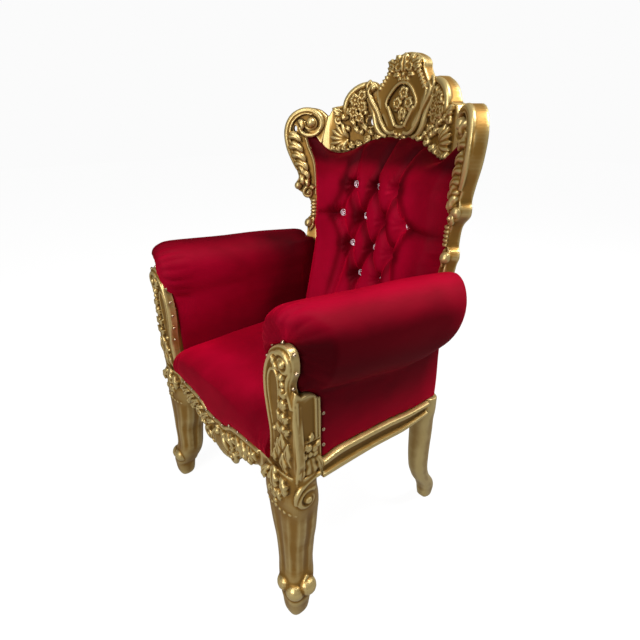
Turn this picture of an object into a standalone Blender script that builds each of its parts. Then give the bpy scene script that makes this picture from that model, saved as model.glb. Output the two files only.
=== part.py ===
"""Throne: a carved and gilded armchair with rolled velvet arms and a deep-buttoned, barrel-shaped back.

Metres, +Z up, floor at z = 0. The seat opens towards -Y and the chair is symmetric about X = 0.
Left and right are the sitter's own, so left is at +X.

The back is curved in plan. Its boards and its pad are shaped flat first, in "sheet" coordinates:
x is the distance along the curved face, y is the depth behind that face, z is the height.
Carving stands in front of the face, at negative y. bend() then carries them to the chair.
"""

import math

import bmesh
import bpy
from mathutils import Matrix, Vector

# Overall placing
DEPTH_SHIFT = -0.0223  # centres the footprint on y = 0
GAP = 0.0006  # clearance between neighbouring pieces
MERGE = 0.00002
KEEP_SHARE = 0.66  # share of a carved piece's triangles that thin() keeps
FLAT = math.radians(0.2)  # faces this close to one plane are kept as one

# Buttons of the back: rows of crystals, staggered, in sheet coordinates
BUTTON_PITCH_X = 0.1046
BUTTON_PITCH_Z = 0.0864
BUTTON_TOP_Z = 0.9073
BUTTON_ROWS = (3, 4, 3, 2)
BUTTON_RADIUS = 0.0095
BUTTON_DEPTH = 0.0050
BUTTON_LIFT = 0.0145  # from the bottom of its tuft to a crystal's centre

# Barrel of the back: its face is y = FACE_PROFILE(z) - SWEEP * x * x. The pad's grid shares the folds.
SWEEP = 1.507
PAD_COLUMN, PAD_ROW = BUTTON_PITCH_X / 4, BUTTON_PITCH_Z / 2
FOLD_LOW, FOLD_MIDDLE, FOLD_HIGH = (BUTTON_TOP_Z - rows * PAD_ROW for rows in (9, 6, 3))
FACE_PROFILE = (
    (0.38, 0.2600), (FOLD_LOW, 0.2680), (FOLD_MIDDLE, 0.3010), (FOLD_HIGH, 0.3300), (1.26, 0.3486),
)
BEND_STEP = 2 * PAD_COLUMN
BOARD = 0.030
RAIL_DEPTH = 0.042

# Levels
RAIL_TOP = 0.4206
POST_FOOT = RAIL_TOP + GAP
CREST_TOP_Z = 1.241
BLOCK_TOP = 0.6120
RAIL_BOTTOM = 0.386
BLOCK_LEVEL = RAIL_TOP - 0.0002
JOINT_X = 0.2615  # where the back rail meets the corner blocks, in sheet coordinates

# Crest outline, right half, in sheet coordinates
CREST_UPPER = (
    (0.0, CREST_TOP_Z), (0.030, 1.235), (0.049, 1.227), (0.062, 1.214), (0.055, 1.204), (0.067, 1.188),
    (0.080, 1.171), (0.092, 1.163), (0.105, 1.175), (0.121, 1.179), (0.138, 1.173), (0.158, 1.163),
    (0.176, 1.149), (0.189, 1.130), (0.199, 1.117), (0.228, 1.112), (0.233, 1.098), (0.2436, 1.0865),
)
CREST_LOWER = (
    (0.2596, 1.011), (0.2363, 0.992), (0.212, 0.986), (0.190, 0.986), (0.160, 0.994), (0.135, 1.006),
    (0.106, 1.020), (0.080, 1.027), (0.043, 1.032), (0.0, 1.033),
)

# Post outline in sheet coordinates: ear, console, knuckle, neck and lower knob, then the plain stile
POST_OUTER = (
    (0.256, 1.097), (0.270, 1.106), (0.290, 1.111), (0.311, 1.112), (0.332, 1.107), (0.351, 1.096),
    (0.366, 1.079), (0.376, 1.060), (0.379, 1.040), (0.375, 1.012), (0.366, 0.985), (0.350, 0.956),
    (0.338, 0.930), (0.333, 0.907), (0.342, 0.893), (0.342, 0.880), (0.325, 0.868), (0.306, 0.855),
    (0.295, 0.842), (0.290, 0.822), (0.289, 0.794), (0.300, 0.785), (0.307, 0.770), (0.300, 0.755),
    (0.298, 0.735), (0.298, POST_FOOT),
)
POST_INNER = (
    (JOINT_X, POST_FOOT), (JOINT_X, 0.745), (0.280, 0.775), (0.271, 0.800), (0.270, 0.860), (0.274, 0.930),
    (0.281, 0.967), (0.296, 1.000), (0.306, 1.031), (0.299, 1.037), (0.2782, 1.031),
)

# Back pad: depths in front of the frame's face
PAD_BACK = 0.016
PAD_EDGE = -0.006
PAD_CROWN = -0.096
PAD_LOWER = -0.055
TUFT_PINCH = 0.018
PLEAT_PINCH = 0.016

# Front legs: height, centre x, centre y, half width, half depth
FRONT_LEG = (
    (0.000, 0.3050, -0.3005, 0.0190, 0.0190), (0.010, 0.3050, -0.3005, 0.0220, 0.0220),
    (0.050, 0.3050, -0.2990, 0.0255, 0.0265), (0.064, 0.3000, -0.2950, 0.0320, 0.0335),
    (0.104, 0.2875, -0.2850, 0.0365, 0.0370), (0.132, 0.2815, -0.2805, 0.0375, 0.0370),
    (0.200, 0.2795, -0.2765, 0.0395, 0.0400), (0.250, 0.2735, -0.2735, 0.0520, 0.0430),
    (0.300, 0.2700, -0.2725, 0.0585, 0.0445), (0.345, 0.2680, -0.2740, 0.0655, 0.0440),
    (0.385, 0.2675, -0.2745, 0.0655, 0.0390), (0.4195, 0.2687, -0.2735, 0.0655, 0.0390),
)
LEG_SIDES = 12
FLUTE_DEPTH = 0.05
LEG_INNER = 0.2025
KNEE_FRONT = -0.3145

# Back legs, plain sabre shape, same columns
BACK_LEG = (
    (0.000, 0.2790, 0.2290, 0.0190, 0.0200), (0.030, 0.2800, 0.2270, 0.0225, 0.0240),
    (0.060, 0.2830, 0.2160, 0.0245, 0.0240), (0.114, 0.2870, 0.1820, 0.0235, 0.0235),
    (0.160, 0.2885, 0.1655, 0.0255, 0.0245), (0.220, 0.2895, 0.1590, 0.0275, 0.0260),
    (0.300, 0.2920, 0.1545, 0.0300, 0.0260), (0.350, 0.2970, 0.1475, 0.0305, 0.0235),
    (0.385, 0.3015, 0.1460, 0.0310, 0.0205), (RAIL_TOP, 0.3015, 0.1460, 0.0310, 0.0205),
)

# Arm facing, carved in one with the front leg: outline in x-z
FACING_FRONT = -0.303
FACING_BACK = -0.2835
FACING_OUTER = 0.3270
BLOCK_BACK = -0.2350
BLOCK_SHOULDER = ((-0.2829, BLOCK_TOP), (-0.262, BLOCK_TOP - 0.001), (-0.243, 0.596), (BLOCK_BACK, 0.560))
FACING = (
    (0.2350, 0.410), (0.2370, 0.448), (0.2420, 0.487), (0.2420, 0.515), (0.2360, 0.547), (0.2300, 0.572),
    (0.2290, 0.600), (0.2300, 0.625), (0.2380, 0.656), (0.2520, 0.690), (0.2690, 0.706), (0.2870, 0.715),
    (0.3020, 0.718), (0.3140, 0.715), (0.3230, 0.704), (0.3270, 0.685), (0.3250, 0.664), (0.3160, 0.645),
    (0.3140, 0.632), (0.3200, 0.618), (FACING_OUTER, 0.595), (FACING_OUTER, 0.410),
)

# Arms: the roll's axis runs back, out and down
ARM_FRONT, ARM_REAR = -0.3080, 0.1810
ROLL_X, ROLL_X_SLOPE = 0.3009, 0.0412
ROLL_Z, ROLL_Z_SLOPE = 0.6820, -0.1013
ROLL_R, ROLL_R_SLOPE = 0.0805, 0.0157
ROLL_SIDES = 16
FRONT_SWEEP = 0.90  # how fast the roll's front end falls back towards the outside
REAR_SWEEP = 0.50  # how fast its rear end comes forward towards the outside, from REAR_TURN on
REAR_TURN = 0.050
REAR_LEAN = 0.50  # how far the roll's rear end leans back with the posts
ROLL_STATIONS = (  # y, share of the radius, and how much further the underside hangs
    (ARM_FRONT, 0.58, 1.15), (-0.3020, 0.77, 1.18), (-0.2890, 0.90, 1.20), (-0.2660, 0.98, 1.22),
    (-0.2350, 1.0, 1.40), (0.0, 1.0, 1.44), (0.0800, 1.0, 1.34), (0.1500, 0.983, 1.12), (0.1740, 0.94, 1.05),
    (ARM_REAR, 0.86, 1.0),
)
ARM_INNER, ARM_OUTER = 0.2345, 0.3250
ARM_SHOULDER = 0.2235  # the inner side, where the wall swells into the roll
WALL_FRONT, WALL_REAR = -0.2345, 0.1560

# Side rail: y and height of the top edge, y and height of the bottom edge
SIDE_TOP = (
    (-0.2345, 0.436), (-0.178, 0.444), (-0.124, 0.441), (-0.035, 0.434), (0.065, 0.422), (0.1225, RAIL_TOP),
)
SIDE_BOTTOM = ((0.1225, 0.379), (0.030, 0.374), (-0.030, 0.379), (-0.090, 0.384), (-0.2345, 0.388))
SIDE_INNER, SIDE_OUTER = 0.2880, 0.3350

# Front rail with its carved apron, right half in x-z
APRON_TOP = ((0.0, 0.391), (0.040, 0.392), (0.060, 0.402), (0.080, 0.412), (0.120, 0.417), (0.2015, 0.4200))
APRON_BOTTOM = (
    (0.2015, 0.371), (0.185, 0.366), (0.165, 0.352), (0.140, 0.342), (0.121, 0.353), (0.100, 0.338),
    (0.085, 0.312), (0.062, 0.284), (0.044, 0.288), (0.028, 0.272), (0.0, 0.263),
)
APRON_FRONT, APRON_BACK = -0.3080, -0.2800
APRON_LEAN = 0.12

# Seat
SEAT_HALF = 0.2340
SEAT_FRONT, SEAT_REAR = -0.3150, 0.2050
SEAT_BASE = RAIL_TOP + 0.004
SEAT_EDGE_Z, SEAT_CROWN_Z = 0.488, 0.520

GOLD = ((0.32, 0.21, 0.05), 0.38, 0.85)
VELVET = ((0.26, 0.0, 0.012), 0.9, 0.0)
CRYSTAL = ((0.9, 0.88, 0.9), 0.05, 0.0)

ALONG_X, ALONG_Y, ALONG_Z = Vector((1, 0, 0)), Vector((0, 1, 0)), Vector((0, 0, 1))
TO_FRONT = -ALONG_Y


# ---------------------------------------------------------------- scene
def clear_scene():
    """Removes every object, so that the file can be run again."""
    for obj in list(bpy.data.objects):
        bpy.data.objects.remove(obj)


def new_collection(name):
    """A collection linked to the scene."""
    group = bpy.data.collections.new(name)
    bpy.context.scene.collection.children.link(group)
    return group


def new_material(name, look):
    """A Principled material from (colour, roughness, metallic)."""
    colour, roughness, metallic = look
    material = bpy.data.materials.new(name)
    material.use_nodes = True
    shader = material.node_tree.nodes["Principled BSDF"]
    shader.inputs["Base Color"].default_value = (*colour, 1.0)
    shader.inputs["Roughness"].default_value = roughness
    shader.inputs["Metallic"].default_value = metallic
    return material


clear_scene()
PARTS = new_collection("throne")
WORKSHOP = new_collection("throne_cutters")
ROOT = bpy.data.objects.new("throne_root", None)
PARTS.objects.link(ROOT)
ROOT.location = (0.0, DEPTH_SHIFT, 0.0)


# ---------------------------------------------------------------- basic shapes
def shape_from(bm):
    """A workshop object from a bmesh."""
    mesh = bpy.data.meshes.new("shape")
    bm.to_mesh(mesh)
    bm.free()
    shape = bpy.data.objects.new("shape", mesh)
    WORKSHOP.objects.link(shape)
    shape.hide_render = True
    shape.display_type = "WIRE"
    return shape


def realise(obj, flat_faces=False):
    """Turns a curve, or a mesh with modifiers, into a plain welded mesh in its place.

    With flat_faces, triangles that lie in one plane are joined into whole faces.
    """
    bpy.context.view_layer.update()
    graph = bpy.context.evaluated_depsgraph_get()
    mesh = bpy.data.meshes.new_from_object(obj.evaluated_get(graph))
    mesh.transform(obj.matrix_world)
    bpy.data.objects.remove(obj)
    bm = bmesh.new()
    bm.from_mesh(mesh)
    bmesh.ops.remove_doubles(bm, verts=bm.verts, dist=MERGE)
    if flat_faces:
        bmesh.ops.dissolve_limit(bm, angle_limit=FLAT, verts=bm.verts, edges=bm.edges)
    bmesh.ops.recalc_face_normals(bm, faces=bm.faces)
    return shape_from(bm)


def new_curve(points, cyclic, dimensions):
    """A POLY curve object through (x, y, z, radius) points."""
    curve = bpy.data.curves.new("curve", "CURVE")
    curve.dimensions = dimensions
    spline = curve.splines.new("POLY")
    spline.points.add(len(points) - 1)
    for point, (x, y, z, radius) in zip(spline.points, points):
        point.co = (x, y, z, 1.0)
        point.radius = radius
    spline.use_cyclic_u = cyclic
    obj = bpy.data.objects.new("curve", curve)
    WORKSHOP.objects.link(obj)
    return obj


def board(outline, near, far, holes=(), sideways=False):
    """A flat board cut to an outline, between two depths.

    The outline lies in x-z and the depth runs along y. Sideways, it lies in y-z and the depth runs along x.
    """
    obj = new_curve([(a, b, 0.0, 1.0) for a, b in outline], True, "2D")
    for hole in holes:
        spline = obj.data.splines.new("POLY")
        spline.points.add(len(hole) - 1)
        for point, (a, b) in zip(spline.points, hole):
            point.co = (a, b, 0.0, 1.0)
        spline.use_cyclic_u = True
    obj.data.fill_mode = "BOTH"
    obj.data.extrude = (far - near) / 2
    middle = (near + far) / 2
    obj.rotation_euler = (math.pi / 2, 0.0, math.pi / 2 if sideways else 0.0)
    obj.location = (middle, 0.0, 0.0) if sideways else (0.0, middle, 0.0)
    return realise(obj, flat_faces=True)


def roll(path, radii, resolution=0, cyclic=False):
    """A tapered roll along a path: a curve whose bevel follows each point's radius."""
    count = len(path)
    points = []
    for index, point in enumerate(path):
        place = index / (count - 1) * (len(radii) - 1)
        low = min(int(place), len(radii) - 2) if len(radii) > 1 else 0
        high = min(low + 1, len(radii) - 1)
        radius = radii[low] + (radii[high] - radii[low]) * (place - low)
        points.append((*point, radius))
    obj = new_curve(points, cyclic, "3D")
    obj.data.bevel_depth = 1.0
    obj.data.bevel_resolution = resolution
    obj.data.use_fill_caps = True
    return realise(obj)


def ball(centre, radius, squash=1.0, segments=6, rings=3):
    """A knob, squashed along y when asked."""
    bm = bmesh.new()
    bmesh.ops.create_uvsphere(bm, u_segments=segments, v_segments=rings, radius=radius)
    bmesh.ops.scale(bm, vec=(1.0, squash, 1.0), verts=bm.verts)
    bmesh.ops.translate(bm, vec=centre, verts=bm.verts)
    return shape_from(bm)


def petal(foot, tip, width, lift, outward=TO_FRONT, segments=4, rings=3):
    """A leaf or petal: a spindle from foot to tip, as wide and as proud as asked."""
    foot, tip = Vector(foot), Vector(tip)
    along = (tip - foot).normalized()
    across = along.cross(outward).normalized()
    face = across.cross(along)
    turn = Matrix((across, face, along)).transposed()
    bm = bmesh.new()
    bmesh.ops.create_uvsphere(bm, u_segments=segments, v_segments=rings, radius=1.0)
    bmesh.ops.scale(bm, vec=(width / 2, lift, (tip - foot).length / 2), verts=bm.verts)
    bmesh.ops.transform(bm, matrix=turn.to_4x4(), verts=bm.verts)
    bmesh.ops.translate(bm, vec=(foot + tip) / 2, verts=bm.verts)
    return shape_from(bm)


def spiral(centre, start_radius, end_radius, start, turns, count, a=ALONG_X, b=ALONG_Z):
    """Points of a volute, winding in from start_radius to end_radius; angles are in turns."""
    centre = Vector(centre)
    points = []
    for index in range(count):
        share = index / (count - 1)
        angle = 2 * math.pi * (start + turns * share)
        radius = start_radius + (end_radius - start_radius) * share
        points.append(centre + radius * (math.cos(angle) * a + math.sin(angle) * b))
    return points


def smooth_path(knots, per_span):
    """A Catmull-Rom path through the knots, as vectors."""
    knots = [Vector(k) for k in knots]
    ends = [2 * knots[0] - knots[1], *knots, 2 * knots[-1] - knots[-2]]
    path = []
    for k in range(1, len(ends) - 2):
        before, here, after, beyond = ends[k - 1:k + 3]
        for step in range(per_span):
            t = step / per_span
            path.append(0.5 * (
                2 * here + (after - before) * t + (2 * before - 5 * here + 4 * after - beyond) * t * t
                + (3 * here - before - 3 * after + beyond) * t ** 3
            ))
    return [*path, knots[-1]]


def loft(rings):
    """A closed solid through rings of points that all have the same count."""
    bm = bmesh.new()
    loops = [[bm.verts.new(point) for point in ring] for ring in rings]
    count = len(rings[0])
    for low, high in zip(loops, loops[1:]):
        for k in range(count):
            after = (k + 1) % count
            bm.faces.new((low[k], low[after], high[after], high[k]))
    bm.faces.new(loops[0][::-1])
    bm.faces.new(loops[-1])
    bmesh.ops.triangulate(bm, faces=bm.faces)
    bmesh.ops.recalc_face_normals(bm, faces=bm.faces)
    return shape_from(bm)


def combine(base, others, operation="UNION"):
    """Joins carvings to a base, or cuts them from it, with one exact Boolean."""
    group = bpy.data.collections.new("operands")
    for other in others:
        group.objects.link(other)
    boolean = base.modifiers.new("carving", "BOOLEAN")
    boolean.operation = operation
    boolean.solver = "EXACT"
    boolean.operand_type = "COLLECTION"
    boolean.collection = group
    result = realise(base)
    for other in others:
        bpy.data.objects.remove(other)
    bpy.data.collections.remove(group)
    return result


def thin(shape, face):
    """Takes slivers out of the carving on a face at this depth, and leaves the board's own edges alone."""
    mesh = shape.data
    rim = set()
    for polygon in mesh.polygons:
        if max(mesh.vertices[k].co.y for k in polygon.vertices) > face + MERGE:
            rim.update(polygon.vertices)
    carving = shape.vertex_groups.new(name="carving")
    carving.add([v.index for v in mesh.vertices if v.index not in rim], 1.0, "REPLACE")
    decimate = shape.modifiers.new("thin", "DECIMATE")
    decimate.ratio = KEEP_SHARE
    decimate.use_collapse_triangulate = True
    decimate.vertex_group = carving.name
    return realise(shape)


def between(x, table):
    """Straight-line interpolation in a table of (x, value) pairs."""
    for (x0, v0), (x1, v1) in zip(table, table[1:]):
        if x <= x1:
            share = (x - x0) / (x1 - x0)
            return v0 + (v1 - v0) * max(share, 0.0)
    return table[-1][1]


# ---------------------------------------------------------------- the barrel of the back
def arc_length(x):
    """Distance along the curved face from the middle out to x."""
    k = 2 * SWEEP * x
    return (k * math.sqrt(1 + k * k) + math.asinh(k)) / (4 * SWEEP)


def arc_to_x(distance):
    """The x that lies this far along the curved face, by Newton's method."""
    x = distance
    for _ in range(8):
        x -= (arc_length(x) - distance) / math.sqrt(1 + (2 * SWEEP * x) ** 2)
    return x


def bent(distance, depth, z):
    """Carries a point of the flat sheet to its place on the chair."""
    x = arc_to_x(distance)
    slope = 2 * SWEEP * x
    length = math.sqrt(1 + slope * slope)
    y = between(z, FACE_PROFILE) - SWEEP * x * x
    return Vector((x + depth * slope / length, y + depth / length, z))


def score(shape, columns, heights):
    """Cuts the faces of a board along upright and level lines, without parting it."""
    bm = bmesh.new()
    bm.from_mesh(shape.data)
    planes = [((x, 0, 0), ALONG_X) for x in columns] + [((0, 0, z), ALONG_Z) for z in heights]
    for point, normal in planes:
        geometry = [*bm.verts, *bm.edges, *bm.faces]
        bmesh.ops.bisect_plane(bm, geom=geometry, dist=1e-6, plane_co=point, plane_no=normal)
    bm.to_mesh(shape.data)
    bm.free()
    return shape


def score_folds(shape):
    """Scores a flat board where it will fold when bent."""
    reach = int(max(abs(v.co.x) for v in shape.data.vertices) / BEND_STEP)
    return score(shape, [k * BEND_STEP for k in range(-reach, reach + 1)], [z for z, _ in FACE_PROFILE[1:-1]])


def bend(shape):
    """Bends a flat, scored shape to the barrel."""
    bm = bmesh.new()
    bm.from_mesh(shape.data)
    bpy.data.objects.remove(shape)
    bmesh.ops.triangulate(bm, faces=bm.faces)
    for vert in bm.verts:
        vert.co = bent(*vert.co)
    return shape_from(bm)


# ---------------------------------------------------------------- finished pieces
def finish(name, shape, material):
    """Makes a shape a named piece of the throne."""
    WORKSHOP.objects.unlink(shape)
    PARTS.objects.link(shape)
    shape.name = name
    shape.data.name = name
    shape.hide_render = False
    shape.display_type = "TEXTURED"
    shape.data.materials.clear()
    shape.data.materials.append(material)
    shape.data.shade_smooth()
    shape.data.set_sharp_from_angle(angle=math.radians(35))
    shape.parent = ROOT
    return shape


def finish_pair(name, shape, material):
    """Makes the left-hand piece from a shape at +X, and its mirror image on the right."""
    bm = bmesh.new()
    bm.from_mesh(shape.data)
    bmesh.ops.scale(bm, vec=(-1, 1, 1), verts=bm.verts)
    bmesh.ops.reverse_faces(bm, faces=bm.faces)
    finish(name + "_right", shape_from(bm), material)
    finish(name + "_left", shape, material)


def mirrored(outline):
    """A whole outline from its right half, which starts and ends on the middle line or apart from it."""
    left = [(-x, z) for x, z in reversed(outline) if x > 0]
    return [*outline, *left]


# ---------------------------------------------------------------- crest
def crest_carving():
    """The relief of the crest, as separate shapes in sheet coordinates."""
    shapes = []
    shield = mirrored((
        (0, 1.196), (0.040, 1.196), (0.066, 1.170), (0.089, 1.152), (0.078, 1.110), (0.036, 1.046),
    ))
    shapes.append(board(shield, -0.010, 0.010))
    kite = [(0, -0.012, 1.170), (0.036, -0.012, 1.154), (0.058, -0.012, 1.119), (0.020, -0.012, 1.062)]
    kite += [(-x, y, z) for x, y, z in reversed(kite) if x > 0]
    shapes.append(roll(kite, (0.0042, 0.0042), cyclic=True))
    shapes.append(ball((0, -0.012, 1.121), 0.010, 0.7))
    for k in range(5):
        angle = math.radians(90 + 72 * k)
        out = Vector((math.cos(angle), 0, math.sin(angle)))
        centre = Vector((0, -0.010, 1.121))
        shapes.append(petal(centre + 0.008 * out, centre + 0.027 * out, 0.014, 0.006))
    shapes.append(petal((0, -0.004, 1.188), (0, -0.006, 1.240), 0.034, 0.013))
    for side in (1, -1):
        shapes.append(petal((side * 0.010, -0.004, 1.198), (side * 0.060, -0.006, 1.217), 0.026, 0.010))
        shapes.append(petal((side * 0.006, -0.006, 1.196), (side * 0.036, -0.008, 1.232), 0.020, 0.010))
        shapes.append(ball((side * 0.015, -0.010, 1.203), 0.007, 0.8))
        ribbon = smooth_path([
            (side * x, -0.012, z) for x, z in
            ((0.102, 1.163), (0.112, 1.148), (0.091, 1.115), (0.066, 1.082), (0.040, 1.049), (0.016, 1.042))
        ], 2)
        shapes.append(roll(ribbon, (0.0085, 0.008, 0.0075, 0.006)))
        shapes.append(ball((side * 0.116, -0.008, 1.164), 0.012, 0.9))
        band = smooth_path([
            (side * x, -0.006, z) for x, z in
            ((0.113, 1.170), (0.136, 1.164), (0.160, 1.154), (0.177, 1.138), (0.186, 1.114), (0.182, 1.086))
        ], 2)
        shapes.append(roll(band, (0.007, 0.0095, 0.0095, 0.006)))
        for x, z, radius in ((0.160, 1.128, 0.012), (0.137, 1.108, 0.011), (0.160, 1.094, 0.010)):
            shapes.append(ball((side * x, -0.006, z), radius, 0.9))
        for x, z, x1, z1, width in (
            (0.150, 1.118, 0.132, 1.142, 0.014), (0.168, 1.108, 0.176, 1.086, 0.014),
            (0.150, 1.086, 0.134, 1.070, 0.014), (0.166, 1.074, 0.150, 1.052, 0.015),
            (0.128, 1.052, 0.104, 1.040, 0.016), (0.196, 1.098, 0.222, 1.111, 0.016),
        ):
            shapes.append(petal((side * x, -0.004, z), (side * x1, -0.006, z1), width, 0.009))
        for x, z in ((0.226, 1.092), (0.231, 1.066), (0.236, 1.040), (0.231, 1.015)):
            shapes.append(petal((side * 0.178, -0.004, 1.030), (side * x, -0.006, z), 0.019, 0.012))
        for x, z, x1, z1 in (
            (0.216, 1.008, 0.204, 0.991), (0.190, 1.008, 0.172, 0.996), (0.164, 1.014, 0.142, 1.008),
            (0.136, 1.026, 0.112, 1.025), (0.086, 1.034, 0.058, 1.039),
        ):
            shapes.append(petal((side * x, -0.004, z), (side * x1, -0.005, z1), 0.017, 0.011))
    for x in (-0.012, 0.0, 0.012):
        shapes.append(ball((x, -0.003, 1.043 - 0.3 * (0.012 - abs(x))), 0.0065, 0.9))
    return shapes


def build_crest(gold):
    """The carved top rail, pierced once in each lobe."""
    outline = mirrored((*CREST_UPPER, *CREST_LOWER))
    holes = []
    for side in (1, -1):
        ring = spiral((side * 0.1030, 0, 1.0730), 0.0095, 0.0095, 0, 0.9, 10)
        holes.append([(p.x, p.z) for p in ring])
    base = board(outline, 0.0, BOARD, holes)
    finish("crest", bend(thin(combine(score_folds(base), crest_carving()), 0.0)), gold)


# ---------------------------------------------------------------- back posts
def build_posts(gold):
    """The two uprights with their volute ears, husks, knuckles and knobs."""
    joint = ((CREST_LOWER[0][0] + GAP, 1.0112), (CREST_UPPER[-1][0] + GAP, 1.0865))
    outline = [*POST_OUTER, *POST_INNER, *joint]
    holes = [[(p.x, p.z) for p in spiral((x, 0, z), r, r, 0, 0.875, 8)] for x, z, r in (
        (0.3440, 1.0540, 0.0060), (0.3450, 1.0080, 0.0035))]
    base = board(outline, 0.0, BOARD, holes)
    shapes = []
    ear = smooth_path([(x, -0.003, z) for x, z in (
        (0.340, 0.945), (0.357, 0.985), (0.368, 1.035), (0.354, 1.083), (0.318, 1.103), (0.281, 1.100),
        (0.260, 1.079), (0.265, 1.050), (0.290, 1.042), (0.306, 1.052))], 2)
    shapes.append(roll(ear, (0.007, 0.009, 0.0095, 0.0095, 0.0085, 0.0065)))
    shapes.append(ball((0.293, -0.006, 1.071), 0.0145, 0.9))
    for x, z, x1, z1, width in (
        (0.362, 1.022, 0.326, 0.998, 0.016), (0.352, 0.990, 0.338, 0.962, 0.022),
        (0.346, 0.972, 0.312, 0.940, 0.018), (0.322, 0.962, 0.306, 0.922, 0.024),
        (0.316, 0.925, 0.318, 0.892, 0.020),
    ):
        shapes.append(petal((x, -0.004, z), (x1, -0.007, z1), width, 0.011))
    shapes.append(ball((0.333, -0.001, 0.887), 0.0125, 1.0))
    knuckle = spiral((0.298, -0.004, 0.866), 0.020, 0.009, 0.5, -0.85, 9)
    shapes.append(roll(knuckle, (0.0075, 0.006, 0.005)))
    for k in range(4):
        z = 0.838 - 0.012 * k
        shapes.append(petal((0.271, -0.002, z), (0.289, -0.003, z), 0.008, 0.006))
    shapes.append(ball((0.295, -0.001, 0.770), 0.0145, 1.0))
    finish_pair("back_post", bend(thin(combine(score_folds(base), shapes), 0.0)), gold)


# ---------------------------------------------------------------- back pad and outside back
def inset(outline, distance):
    """An outline moved inwards by a distance; it runs clockwise or anticlockwise."""
    count = len(outline)
    area = sum(outline[k - 1][0] * outline[k][1] - outline[k][0] * outline[k - 1][1] for k in range(count))
    sense = 1.0 if area > 0 else -1.0
    moved = []
    for k in range(count):
        before, here, after = (Vector(outline[j % count]) for j in (k - 1, k, k + 1))
        first, second = (here - before).normalized(), (after - here).normalized()
        normal = Vector((-first.y - second.y, first.x + second.x)).normalized()
        stretch = max(normal.dot(Vector((-first.y, first.x))), 0.35)
        moved.append(tuple(here + normal * (sense * distance / stretch)))
    return moved


def back_opening(clearance):
    """The outline of the opening between posts, crest and back rail, drawn in by a clearance."""
    half = [(0.0, POST_FOOT), *POST_INNER, *CREST_LOWER]
    return inset(mirrored(half), clearance)


def button_places():
    """Row, number, x and z of each crystal."""
    for row, count in enumerate(BUTTON_ROWS):
        for number in range(count):
            x = (number - (count - 1) / 2) * BUTTON_PITCH_X
            yield row + 1, number + 1, x, BUTTON_TOP_Z - row * BUTTON_PITCH_Z


def pleats():
    """The folds between neighbouring buttons, and those that run out to the frame, as end points."""
    places = [(x, z) for _, _, x, z in button_places()]
    for x, z in places:
        for x1, z1 in places:
            if abs(z - z1 - BUTTON_PITCH_Z) < 0.01 and abs(abs(x - x1) - BUTTON_PITCH_X / 2) < 0.01:
                yield (x, z), (x1, z1)
    for x, z in places[:3]:
        yield (x, z), (x * 1.1, 1.06)
    for side in (1, -1):
        yield (side * 1.5 * BUTTON_PITCH_X, places[3][1]), (side * 0.30, places[3][1] - 0.012)
        yield (side * BUTTON_PITCH_X, places[7][1]), (side * 0.16, 0.50)
        yield (side * 0.5 * BUTTON_PITCH_X, places[10][1]), (side * 0.055, 0.47)


def segment_distance(x, z, start, end):
    """Distance from a point to a fold."""
    a, b, p = Vector(start), Vector(end), Vector((x, z))
    share = max(0.0, min(1.0, (p - a).dot(b - a) / (b - a).length_squared))
    return (a + (b - a) * share - p).length


FOLDS = list(pleats())


def pad_face(x, z):
    """Depth of the padded face in front of the frame at x and height z."""
    across = max(0.0, 1.0 - (abs(x) / 0.300) ** 2.6)
    top = max(0.0, min(1.0, (1.045 - z) / 0.13))
    low = max(0.0, min(1.0, (z - 0.42) / 0.40))
    full = PAD_EDGE + (PAD_CROWN - PAD_EDGE) * across ** 0.8 * math.sin(top * math.pi / 2)
    depth = PAD_LOWER * across ** 0.5 * (1 - low) + full * low
    fold = min(segment_distance(x, z, *ends) for ends in FOLDS)
    knot = min(math.hypot(x - bx, z - bz) for _, _, bx, bz in button_places())
    pinch = PLEAT_PINCH * math.exp(-((fold / 0.013) ** 2)) * min(1.0, 2 * low) * across ** 0.5
    pinch += TUFT_PINCH * math.exp(-((knot / 0.030) ** 2))
    return min(depth + pinch, PAD_EDGE)


def build_back_pad(velvet):
    """The deep-buttoned inside back, one closed solid that fills the opening."""
    columns, rows = 24, 15
    bm = bmesh.new()
    bmesh.ops.create_grid(bm, x_segments=columns, y_segments=rows, size=0.5)
    for vert in bm.verts:
        x = (vert.co.x * columns) * PAD_COLUMN
        z = BUTTON_TOP_Z + ((vert.co.y + 0.5) * rows - 12) * PAD_ROW
        vert.co = (x, pad_face(x, z), z)
    grown = bmesh.ops.extrude_face_region(bm, geom=list(bm.faces), use_keep_orig=True)["geom"]
    behind = {g for g in grown if isinstance(g, bmesh.types.BMVert)}
    for vert in behind:
        vert.co.y = PAD_BACK
    spare = []
    for edge in grown:
        if isinstance(edge, bmesh.types.BMEdge) and not edge.is_boundary and set(edge.verts) <= behind:
            (x0, _, z0), (x1, _, z1) = (v.co for v in edge.verts)
            upright = abs(x0 - x1) < MERGE
            on_column = abs(x0 / BEND_STEP - round(x0 / BEND_STEP)) < 0.01
            on_fold = any(abs(z0 - z) < MERGE for z in (FOLD_LOW, FOLD_MIDDLE, FOLD_HIGH))
            inside = all(set(face.verts) <= behind for face in edge.link_faces)
            if inside and not (on_column if upright else on_fold):
                spare.append(edge)
    bmesh.ops.dissolve_edges(bm, edges=spare, use_verts=True)
    bmesh.ops.triangulate(bm, faces=[f for f in bm.faces if len(f.verts) == 4 and not set(f.verts) <= behind])
    bmesh.ops.recalc_face_normals(bm, faces=bm.faces)
    opening = board(back_opening(0.0010), -0.20, 0.10)
    finish("back_pad", bend(combine(shape_from(bm), [opening], "INTERSECT")), velvet)


def build_back_panel(velvet):
    """The plain outside back, set in the same opening behind the pad."""
    panel = board(back_opening(0.0010), PAD_BACK + 0.0014, BOARD - 0.002)
    finish("back_panel", bend(score_folds(panel)), velvet)


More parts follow.
